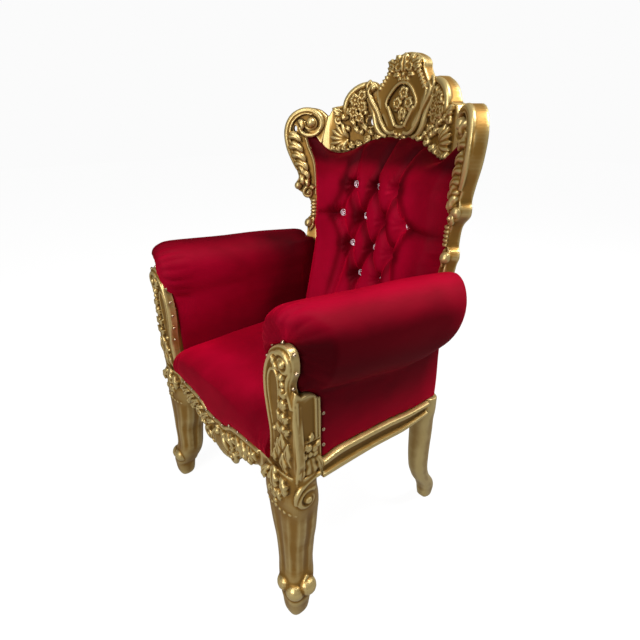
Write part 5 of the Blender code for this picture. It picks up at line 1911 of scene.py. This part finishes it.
@dataclass
class Crystals:
    """The cut-crystal buttons in their foil cups."""

    radius: float = 0.0098
    table: float = 0.0054
    crown: float = 0.0042
    pavilion: float = 0.0042
    scale: float = 0.92

    def gem(self) -> bpy.types.Mesh:
        """Cuts one stone: table, two rows of crown facets, girdle and pavilion.

        Returns:
            The stone.
        """
        bm = bmesh.new()
        for sides, radius, level, turn in (
            (8, self.table, self.crown, 0.0), (8, self.radius * 0.84, self.crown * 0.52, 0.5),
            (16, self.radius, 0.0004, 0.0), (16, self.radius, -0.0004, 0.0),
            (8, self.radius * 0.5, -self.pavilion * 0.62, 0.5), (4, 0.0006, -self.pavilion, 0.0),
        ):
            turned = Matrix.Rotation(2 * math.pi * turn / sides, 4, "Z")
            ring = Matrix.Translation((0, 0, level)) @ turned
            bmesh.ops.create_circle(bm, segments=sides, radius=radius, matrix=ring)
        hull = bmesh.ops.convex_hull(bm, input=list(bm.verts))
        spare = [g for g in hull["geom_interior"] + hull["geom_unused"] if isinstance(g, bmesh.types.BMVert)]
        bmesh.ops.delete(bm, geom=spare, context="VERTS")
        bmesh.ops.recalc_face_normals(bm, faces=bm.faces)
        for face in bm.faces:
            face.smooth = False
        return to_mesh(bm, "gem")

    def cup(self, bm: bmesh.types.BMesh) -> None:
        """Spins the foil cup that holds a stone.

        Args:
            bm: Where the cup goes.
        """
        profile = (
            (0.0, -0.006), (0.006, -0.0046), (0.01, -0.001), (0.0106, 0.0006), (0.01, 0.0012),
            (0.0098, -0.0001), (0.0058, -0.0036), (0.0, -0.0048),
        )
        verts = [bmesh.ops.create_vert(bm, co=(r, 0.0, z))["vert"][0] for r, z in profile]
        edges = [bm.edges.new(pair) for pair in zip(verts, verts[1:])]
        bmesh.ops.spin(
            bm, geom=[*verts, *edges], cent=(0, 0, 0), axis=(0, 0, 1), angle=2 * math.pi, steps=24,
            use_merge=True,
        )
        bmesh.ops.remove_doubles(bm, verts=bm.verts, dist=WELD)
        bmesh.ops.recalc_face_normals(bm, faces=bm.faces)

    def build(self, crystal: bpy.types.Material, foil: bpy.types.Material) -> None:
        """Sets a stone in every tuft.

        Args:
            crystal: The clear glass.
            foil: The foil.
        """
        for row, number, x, z in TUFTS.buttons():
            bm = bmesh.new()
            self.cup(bm)
            for face in bm.faces:
                face.material_index = 1
                face.smooth = True
            gem = self.gem()
            bm.from_mesh(gem)
            bpy.data.meshes.remove(gem)
            mesh = to_mesh(bm, "button")
            depth = TUFTS.seat(x, z)
            middle, ahead = BARREL.bend(np.array([(x, depth, z), (x, depth - 0.01, z)]))
            facing = Vector(ahead - middle).to_track_quat("Z", "Y")
            turn = Quaternion((0, 0, 1), 0.35 * row + 0.5 * number)
            set_in = Matrix.Translation(middle) @ (facing @ turn).to_matrix().to_4x4()
            mesh.transform(set_in @ Matrix.Scale(self.scale, 4))
            name, node = f"crystal_{row}_{number}", f"button_{row}_{number}"
            finish_piece(name, mesh, [crystal, foil], [node], Slot.CRYSTAL, smooth=False)


# ---------------------------------------------------------------- arms and seat
FRONT_LEGS = FrontLegs()
SIDE_RAILS = SideRails()
FRONT_RAIL = FrontRail()


@dataclass
class Arms:
    """The rolled arms: a roll set outwards on a wall, with the cover gathered round the facing."""

    roll_x: Point = (0.3009, 0.0412)
    roll_z: Point = (0.682, -0.1013)
    roll_radius: Point = (0.0805, 0.0157)
    stations: tuple[Spot, ...] = (
        (-0.308, 0.58, 1.15), (-0.302, 0.77, 1.18), (-0.289, 0.9, 1.2), (-0.266, 0.98, 1.22),
        (-0.235, 1.0, 1.4), (0.0, 1.0, 1.44), (0.08, 1.0, 1.34), (0.15, 0.983, 1.12),
        (0.174, 0.94, 1.05), (0.181, 0.86, 1.0),
    )
    front_sweep: float = 0.9
    rear_sweep: float = 0.5
    rear_turn: float = 0.05
    rear_lean: float = 0.5
    shoulder: float = 0.2235
    inner: float = 0.235
    outer: float = 0.3245
    wall_front: float = -0.2345
    wall_rear: float = 0.1555
    gap: float = 0.0008

    def axis(self, y: np.ndarray) -> tuple[np.ndarray, np.ndarray, np.ndarray]:
        """Centre and radius of the roll at a depth."""
        return tuple(start + slope * y for start, slope in (self.roll_x, self.roll_z, self.roll_radius))

    def stuffing(self) -> bpy.types.Mesh:
        """Fuses the roll, the wall and the tongue behind the facing.

        Returns:
            The mesh of the left arm.
        """
        front, rear = self.stations[0][0], self.stations[-1][0]
        knots = [row[0] for row in self.stations]
        places = [y + (after - y) * t for y, after in zip(knots, knots[1:]) for t in (0, 0.25, 0.5, 0.75)]
        places = np.array([*places, rear])
        angles = np.linspace(0, 2 * math.pi, 48, endpoint=False)
        rings = []
        for y, share, sag in zip(places, table(places, self.stations, 1), table(places, self.stations, 2)):
            cx, cz, radius = self.axis(y)
            out, up = radius * share * np.cos(angles), radius * share * np.sin(angles)
            up = np.where(up < 0, up * sag, up)
            swept = self.front_sweep * max(0.0, self.wall_front - y) / (self.wall_front - front)
            swept -= self.rear_sweep * max(0.0, y - self.rear_turn) / (rear - self.rear_turn)
            lean = self.rear_lean * max(0.0, y - self.wall_front) / (rear - self.wall_front)
            rings.append(np.stack((cx + out, y + swept * np.maximum(0.0, out) + lean * up, cz + up), axis=1))
        work = Carving(voxel=0.0045)
        skin(work.heap, np.array(rings))
        depths = np.linspace(self.wall_front, self.wall_rear, 50)
        rail = table(depths, SIDE_RAILS.top, 1) + self.gap
        walls = []
        for y, low in zip(depths, rail):
            _, cz, _ = self.axis(y)
            walls.append([
                (self.inner, y, low), (self.outer, y, low), (self.outer, y, (low + cz) / 2),
                (self.outer, y, cz - 0.03), (0.29, y, cz), (self.shoulder, y, cz - 0.03),
                (self.shoulder + 0.004, y, cz - 0.08), (self.inner, y, cz - 0.13),
            ])
        skin(work.heap, np.array(walls))
        shoulder = (
            (-0.2815, 0.613), (-0.262, 0.6125), (-0.2425, 0.5975), (-0.233, 0.562), (-0.233, 0.69),
            (-0.2815, 0.69),
        )
        work.plank(shoulder, self.inner + 0.005, self.outer - 0.001, sideways=True)
        # A cheek closes the inner side behind the facing, and a tuck carries the cover back to the pad.
        cheek = ((-0.23, 0.4225), (-0.2822, 0.4225), (-0.2822, 0.66), (-0.23, 0.66))
        work.plank(cheek, self.inner, 0.2424, sideways=True, soft=0.001)
        tuck = ((0.12, 0.43), (0.202, 0.43), (0.222, 0.728), (0.12, 0.728))
        work.plank(tuck, self.inner, 0.26, sideways=True, soft=0.003)
        mesh = work.fuse(soften=6)
        points = coordinates(mesh)
        firm = np.clip((points[:, 0] - 0.245) / 0.03, 0, 1) * np.clip((points[:, 1] + 0.25) / 0.02, 0, 1)
        place(mesh, relax(points, edge_pairs(mesh), 14, 0.5, firm))
        return mesh

    def gathers(self, mesh: bpy.types.Mesh) -> None:
        """Draws the cover in round the facing and into pleats above it.

        Args:
            mesh: The left arm, which it changes.
        """
        points, normals = coordinates(mesh), coordinates(mesh, "normal")
        cx, cz, _ = self.axis(points[:, 1])
        around = np.arctan2(points[:, 2] - cz, points[:, 0] - cx)
        facing = smooth_path(FRONT_LEGS.facing, 3, cyclic=True)
        reach = outline_distance(points[:, (0, 2)], facing)
        ahead = np.clip((-0.225 - points[:, 1]) / 0.05, 0, 1)
        above = np.clip((points[:, 2] - 0.6) / 0.03, 0, 1)
        wave = np.abs(np.sin(9.5 * around + 0.7 * np.sin(3 * around))) ** 0.7 - 0.6
        long_way = np.exp(-(((points[:, 1] + 0.285) / 0.035) ** 2))
        points += normals * (0.003 * wave * above * np.maximum(long_way, ahead))[:, None]
        tuck = np.clip((reach - 0.001) / 0.013, 0, 1)
        limit = FRONT_LEGS.facing_back + 0.002 - 0.03 * np.sqrt(1 - (1 - tuck) ** 2)
        points[:, 1] = np.where(reach < 0.016, np.maximum(points[:, 1], limit), points[:, 1])
        slack = 0.001 * np.sin(24 * points[:, 1] + 7) * np.sin(33 * points[:, 2] + 2)
        points += normals * slack[:, None]
        place(mesh, points)

    def painted_light(self, mesh: bpy.types.Mesh, outside: bool) -> np.ndarray:
        """Painted light and shade on an arm.

        Args:
            mesh: The left arm.
            outside: Whether it gets the painted light for its outer side or for its inner side.

        Returns:
            The painted light of each point.
        """
        x, y, z = coordinates(mesh).T
        cx, cz, _ = self.axis(y)
        around = np.degrees(np.arctan2(z - cz, x - cx))
        if outside:
            # Outer side: a painted highlight along the roll's ridge, painted shade on its belly, and on the
            # wall painted shade under the roll, lighter lower down.
            ridge_highlight = np.exp(-(((around - 76) / 22) ** 2))
            wall = ease(cz - z, 0.095, 0.118)
            belly = ease(around, 48, 2) * ease(around, -110, -80)
            belly = belly * (1 - 0.6 * ease(y, 0.06, 0.15)) * (1 - wall)
            return 0.55 * ridge_highlight - 0.14 - 0.9 * belly + wall * (0.5 * ease(z, 0.56, 0.44) - 0.4)
        # Inner side: painted light towards the front of the inner face, painted shade towards the rear and
        # low down, and painted shade over the top of the roll.
        inner = ease(cx - x, 0.0, 0.05)
        over = np.exp(-(((around - 85) / 35) ** 2))
        lit = 0.5 * ease(y, 0.02, -0.2) - 0.8 * ease(y, -0.04, 0.12) - 0.55 * ease(z, 0.62, 0.5)
        return inner * (lit - 0.1) - 0.9 * over

    def cutters(self) -> list[bpy.types.Object]:
        """The spaces that the facing and the stile of the post take from the arm.

        Returns:
            The cutting objects.
        """
        facing = Carving()
        board = smooth_path(FRONT_LEGS.facing, 3, cyclic=True)
        outline = [(x + (0.001 if x > 0.28 else -0.001), z + 0.0006) for x, z in board]
        facing.plank(outline, -0.4, FRONT_LEGS.facing_back + self.gap, soft=0.0002)
        stile = Carving()
        near, far = -0.0012, 0.042
        section = (
            (0.256, near), (0.2776, near), (0.2992, near), (0.2992, far), (0.2776, far), (0.256, far),
        )
        rings = np.array([[(x, y, z) for x, y in section] for z in np.linspace(0.4, 0.82, 30)])
        skin(stile.heap, rings)
        objects = []
        for name, carving, bent in (("facing_space", facing, False), ("stile_space", stile, True)):
            bmesh.ops.remove_doubles(carving.heap, verts=carving.heap.verts, dist=1e-5)
            bmesh.ops.recalc_face_normals(carving.heap, faces=carving.heap.faces)
            mesh = to_mesh(carving.heap, name)
            if bent:
                place(mesh, BARREL.bend(coordinates(mesh)))
            objects.append(link(name, mesh))
        return objects

    def build(self, velvet: bpy.types.Material) -> None:
        """Covers both arms.

        Args:
            velvet: The velvet.
        """
        mesh = self.stuffing()
        self.gathers(mesh)
        arm = link("arm", mesh)
        cutters = self.cutters()
        for cutter in cutters:
            cut = arm.modifiers.new("cut", "BOOLEAN")
            cut.operation = "DIFFERENCE"
            cut.solver = "EXACT"
            cut.object = cutter
        mesh = evaluated(arm)
        for cutter in cutters:
            bpy.data.objects.remove(cutter)
        twin = mirror_mesh(mesh)
        painted_lights = self.painted_light(mesh, True), self.painted_light(mesh, False)
        for side, shape, painted_light in zip(("left", "right"), (mesh, twin), painted_lights):
            paint_light(shape, painted_light)
            shape.shade_smooth()
            shape.set_sharp_from_angle(angle=math.radians(55))
            name, node = f"arm_covered_{side}", f"arm_{side}"
            piece = finish_piece(name, shape, [velvet], [node], Slot.VELVET, smooth=False)


@dataclass
class Seat:
    """The tight, crowned seat."""

    half: float = 0.2338
    front: float = -0.315
    rear: float = 0.2045
    base: float = 0.4246
    edge_z: float = 0.488
    crown_z: float = 0.52
    gap: float = 0.0008
    rows: int = 150

    def ring(self, x: float) -> list[tuple[float, float, float]]:
        """One slice of the seat, from front to back.

        Args:
            x: Where the slice lies.

        Returns:
            Its points.
        """
        share = abs(x) / self.half
        rise = 1.0 - share ** 4
        crown = self.edge_z + (self.crown_z - self.edge_z) * (1.0 - share ** 2)
        rail = float(np.interp(abs(x), *zip(*FRONT_RAIL.top))) + self.gap
        face = BARREL.profile[1][1] - BARREL.sweep * x * x
        # The rear edge follows the buttoned pad, and fills its round corners.
        pad = TUFTS.lower * math.sqrt(max(0.0, 1.0 - (abs(x) / 0.29) ** TUFTS.fullness)) + 0.004
        pad += 0.024 * float(ease(np.array(abs(x)), 0.195, 0.228))
        rear = min(face + pad * math.sqrt(1 + (2 * BARREL.sweep * x) ** 2), self.rear)
        front = self.front
        knots = (
            (front + 0.006, rail), (front + 0.0015 - 0.001 * rise, rail + 0.01),
            (front - 0.0025 * rise, rail + 0.03), (front + 0.0005, crown - 0.036),
            (front + 0.006, crown - 0.02), (front + 0.018, crown - 0.0095), (front + 0.04, crown - 0.003),
            (front + 0.085, crown + 0.0015), (front + 0.15, crown + 0.002), (0.0, crown + 0.0035),
            (rear - 0.09, crown), (rear - 0.04, crown - 0.004), (rear - 0.01, crown - 0.01),
            (rear, crown - 0.024),
        )
        over = smooth_path(knots, 6)
        under = [(rear, self.base), (-0.15, self.base), (-0.27, self.base), (-0.2765, rail)]
        return [(x, p[0], p[1]) for p in (*over, *under)]

    def build(self, velvet: bpy.types.Material) -> None:
        """Covers the seat.

        Args:
            velvet: The velvet.
        """
        places = self.half * np.sin(np.linspace(-math.pi / 2, math.pi / 2, self.rows))
        rings = np.array([self.ring(float(x)) for x in places])
        x, y, z = (rings[..., k] for k in range(3))
        upper = np.clip((z - 0.44) / 0.03, 0, 1)
        side = np.clip((np.abs(x) - self.half + 0.016) / 0.016, 0, 1)
        rings[..., 2] -= upper * 0.01 * (1 - np.sqrt(1 - side ** 2))
        slack = 0.0016 * np.sin(21 * x + 1.0) * np.sin(17 * y + 2.0) + 0.0007 * np.sin(55 * x + 40 * y)
        rings[..., 2] += upper * slack
        front = np.clip((-0.3 - y) / 0.012, 0, 1)
        for crease, width in ((0.204, 0.006), (0.22, 0.005)):
            low = np.exp(-(((np.abs(x) - crease - 0.02 * (0.49 - z)) / width) ** 2))
            rings[..., 1] += front * low * 0.0028
        bm = bmesh.new()
        skin(bm, rings)
        bmesh.ops.recalc_face_normals(bm, faces=bm.faces)
        mesh = to_mesh(bm, "seat")
        mesh.shade_smooth()
        mesh.set_sharp_from_angle(angle=math.radians(60))
        y = coordinates(mesh)[:, 1]
        # Painted light on the seat: a painted highlight along the front bulge, and painted shade towards the
        # back.
        paint_light(mesh, 0.62 * np.exp(-(((y + 0.25) / 0.065) ** 2)) - 0.28 - 0.4 * ease(y, -0.12, 0.1))
        piece = finish_piece("seat_covered", mesh, [velvet], ["seat_pad"], Slot.VELVET, smooth=False)


# ---------------------------------------------------------------- nail heads
def spaced(path: Sequence[Vector], pitch: float) -> list[Vector]:
    """Evenly spaced points along a path, ends included.

    Args:
        path: The path's points.
        pitch: The spacing wanted.

    Returns:
        The points.
    """
    steps = np.array([0.0, *np.cumsum([(b - a).length for a, b in zip(path, path[1:])])])
    count = max(int(round(steps[-1] / pitch)), 1)
    at = np.linspace(0, steps[-1], count + 1)
    columns = zip(*path)
    return [Vector(p) for p in zip(*(np.interp(at, steps, column) for column in columns))]


@dataclass
class NailHeads:
    """Small domed nail heads along the edges of the velvet."""

    radius: float = 0.0043
    height: float = 0.003

    def strike(self, bm: bmesh.types.BMesh, spot: Vector, outward: Vector) -> None:
        """Drives one nail.

        Args:
            bm: Where the nail goes.
            spot: Its place.
            outward: The way it faces.
        """
        verts = bmesh.ops.create_uvsphere(bm, u_segments=12, v_segments=6, radius=1.0)["verts"]
        turn = Matrix.Translation(spot) @ outward.to_track_quat("Z", "Y").to_matrix().to_4x4()
        bmesh.ops.scale(bm, vec=(self.radius, self.radius, self.height), verts=verts)
        bmesh.ops.transform(bm, matrix=turn, verts=verts)

    def on_back(self) -> list[tuple[Vector, Vector]]:
        """Places along the crest and the posts.

        Returns:
            The place and facing of each nail.
        """
        crest = smooth_path([(x, z - 0.0052) for x, z in reversed(InsideBack().crest[1:])], 4)
        crest = spaced(crest, 0.029)
        post = spaced(smooth_path([(x - 0.005, z) for x, z in InsideBack().post[4:9]], 4), 0.038)
        flat = []
        for x, z in (*crest, *post):
            flat += [(x, z)] if x < 0.001 else [(x, z), (-x, z)]
        sheet = np.array([(x, -0.005, z) for x, z in flat])
        spots, ahead = BARREL.bend(sheet), BARREL.bend(sheet - (0, 0.01, 0))
        return [(Vector(s), Vector(a - s).normalized()) for s, a in zip(spots, ahead)]

    def on_arms(self) -> list[tuple[Vector, Vector]]:
        """Places round the facings and behind the side blocks, for the sitter's left.

        Returns:
            The place and facing of each nail.
        """
        facing = FRONT_LEGS.facing
        line = smooth_path([(x, z) for x, z in facing[3:19]], 4)
        beside = []
        for before, here, after in zip(line, line[1:], line[2:]):
            run = (after - before).normalized()
            beside.append(here + 0.0052 * Vector((-run.y, run.x)))
        places = []
        for x, z in spaced(beside, 0.037):
            if z < 0.5:
                continue
            out = (Vector((x, z)) - Vector((0.285, 0.64))).normalized()
            places.append((Vector((x, -0.2975, z)), Vector((0.5 * out.x, -0.8, 0.5 * out.y)).normalized()))
        places += [(Vector((0.3245, -0.229, z)), ALONG_X.copy()) for z in (0.551, 0.511, 0.472)]
        return places

    def on_rail(self) -> list[tuple[Vector, Vector]]:
        """Places along the front rail.

        Returns:
            The place and facing of each nail.
        """
        line = smooth_path([(x, z + 0.0065) for x, z in FRONT_RAIL.top], 4)
        places = []
        for x, z in spaced(line, 0.039)[:-1]:
            places.append((Vector((x, -0.3155, z)), TO_FRONT.copy()))
        return places

    def build(self, metal: bpy.types.Material) -> None:
        """Drives every row of nails.

        Args:
            metal: What the nails are made of.
        """
        for name, places, both in (
            ("nails_back", self.on_back(), False), ("nails_arms", self.on_arms(), True),
            ("nails_rail", self.on_rail(), True),
        ):
            bm = bmesh.new()
            for spot, outward in places:
                self.strike(bm, spot, outward)
                if both and spot.x > 0.001:
                    self.strike(bm, *(Vector((-v.x, v.y, v.z)) for v in (spot, outward)))
            finish_piece(name, to_mesh(bm, name), [metal])


# ---------------------------------------------------------------- studio
@dataclass
class Studio:
    """Pale floor, soft light and the camera."""

    camera_place: Spot = (0.88107, -0.72736, 1.09131)
    azimuth: float = 49.8873
    pitch: float = 24.6464
    roll: float = 0.40246
    lens: float = 25.122
    floor_half: float = 12.0
    aim: Spot = (0.0, 0.0, 0.6)
    lamps: tuple[tuple[str, Spot, float, float], ...] = (
        ("ceiling_light", (1.1, 0.7, 3.1), 0.9, 54.0),
        ("front_ceiling_light", (0.4, -1.6, 3.0), 1.2, 20.0),
        ("front_light", (0.9, -3.2, 1.7), 1.8, 57.0),
        ("back_light", (1.2, 2.6, 2.4), 2.0, 22.0),
    )

    def floor(self) -> None:
        """Lays the floor."""
        bm = bmesh.new()
        bmesh.ops.create_grid(bm, x_segments=1, y_segments=1, size=self.floor_half)
        mesh = to_mesh(bm, "studio_floor")
        mesh.materials.append(PaleFloor().make())
        link("studio_floor", mesh)

    def lamp(self, name: str, spot: Spot, size: float, power: float) -> None:
        """Hangs one soft box.

        Args:
            name: Its name.
            spot: Its place.
            size: Its width.
            power: Its power in watts.
        """
        light = bpy.data.lights.new(name, "AREA")
        light.shape = "DISK"
        light.size = size
        light.energy = power
        obj = bpy.data.objects.new(name, light)
        obj.location = spot
        obj.rotation_euler = (Vector(self.aim) - Vector(spot)).to_track_quat("-Z", "Y").to_euler()
        bpy.context.scene.collection.objects.link(obj)

    def build(self) -> None:
        """Sets floor, lights, world and camera."""
        self.floor()
        for name, spot, size, power in self.lamps:
            self.lamp(name, spot, size, power)
        world = bpy.data.worlds.new("studio")
        world.use_nodes = True
        tree = world.node_tree
        way = add(tree, "ShaderNodeTexCoord").outputs["Generated"]
        height = add(tree, "ShaderNodeSeparateXYZ", {0: way}).outputs["Z"]
        dome = add(tree, "ShaderNodeValToRGB", {0: height}, ((0.1, "242424"), (0.8, "6c6c6c")))
        seen = add(tree, "ShaderNodeLightPath").outputs["Is Camera Ray"]
        white = linear("fbfbfb")
        sky = add(tree, "ShaderNodeMixRGB", {
            "Fac": seen, "Color1": dome.outputs["Color"], "Color2": white,
        })
        tree.links.new(sky.outputs["Color"], tree.nodes["Background"].inputs["Color"])
        scene = bpy.context.scene
        scene.world = world
        scene.view_settings.view_transform = "Standard"
        data = bpy.data.cameras.new("camera")
        data.sensor_width = 36.0
        data.lens = self.lens
        data.clip_end = 60.0
        camera = bpy.data.objects.new("camera", data)
        azimuth, pitch = math.radians(self.azimuth), math.radians(self.pitch)
        level = math.cos(pitch)
        forward = Vector((-math.sin(azimuth) * level, math.cos(azimuth) * level, -math.sin(pitch)))
        camera.rotation_mode = "QUATERNION"
        rolled = Quaternion(forward, math.radians(self.roll))
        camera.rotation_quaternion = rolled @ forward.to_track_quat("-Z", "Y")
        camera.location = self.camera_place
        scene.collection.objects.link(camera)
        scene.camera = camera


def main() -> None:
    """Builds the throne piece by piece, then the studio."""
    logging.basicConfig(level=logging.INFO, format="%(message)s")
    gold = Gilding().make()
    velvet = Velvet().make()
    crystal = CutCrystal().make()
    # The foil gets a painted glow, since the glass in front of it keeps the lamps off it.
    foil = PolishedMetal("silver_foil_painted_glow", "f2dfe6", 0.3, 0.35, 0.18).make()
    nail = PolishedMetal("antiqued_brass_nail_heads", "cdb596", 0.3).make()
    Crest().build(gold)
    BackPosts().build(gold)
    FRONT_LEGS.build(gold)
    BackLegs().build(gold)
    FRONT_RAIL.build(gold)
    SIDE_RAILS.build(gold)
    BackRail().build(gold)
    InsideBack().build(velvet)
    Crystals().build(crystal, foil)
    Arms().build(velvet)
    Seat().build(velvet)
    NailHeads().build(nail)
    Studio().build()


if __name__ == "__main__":
    main()
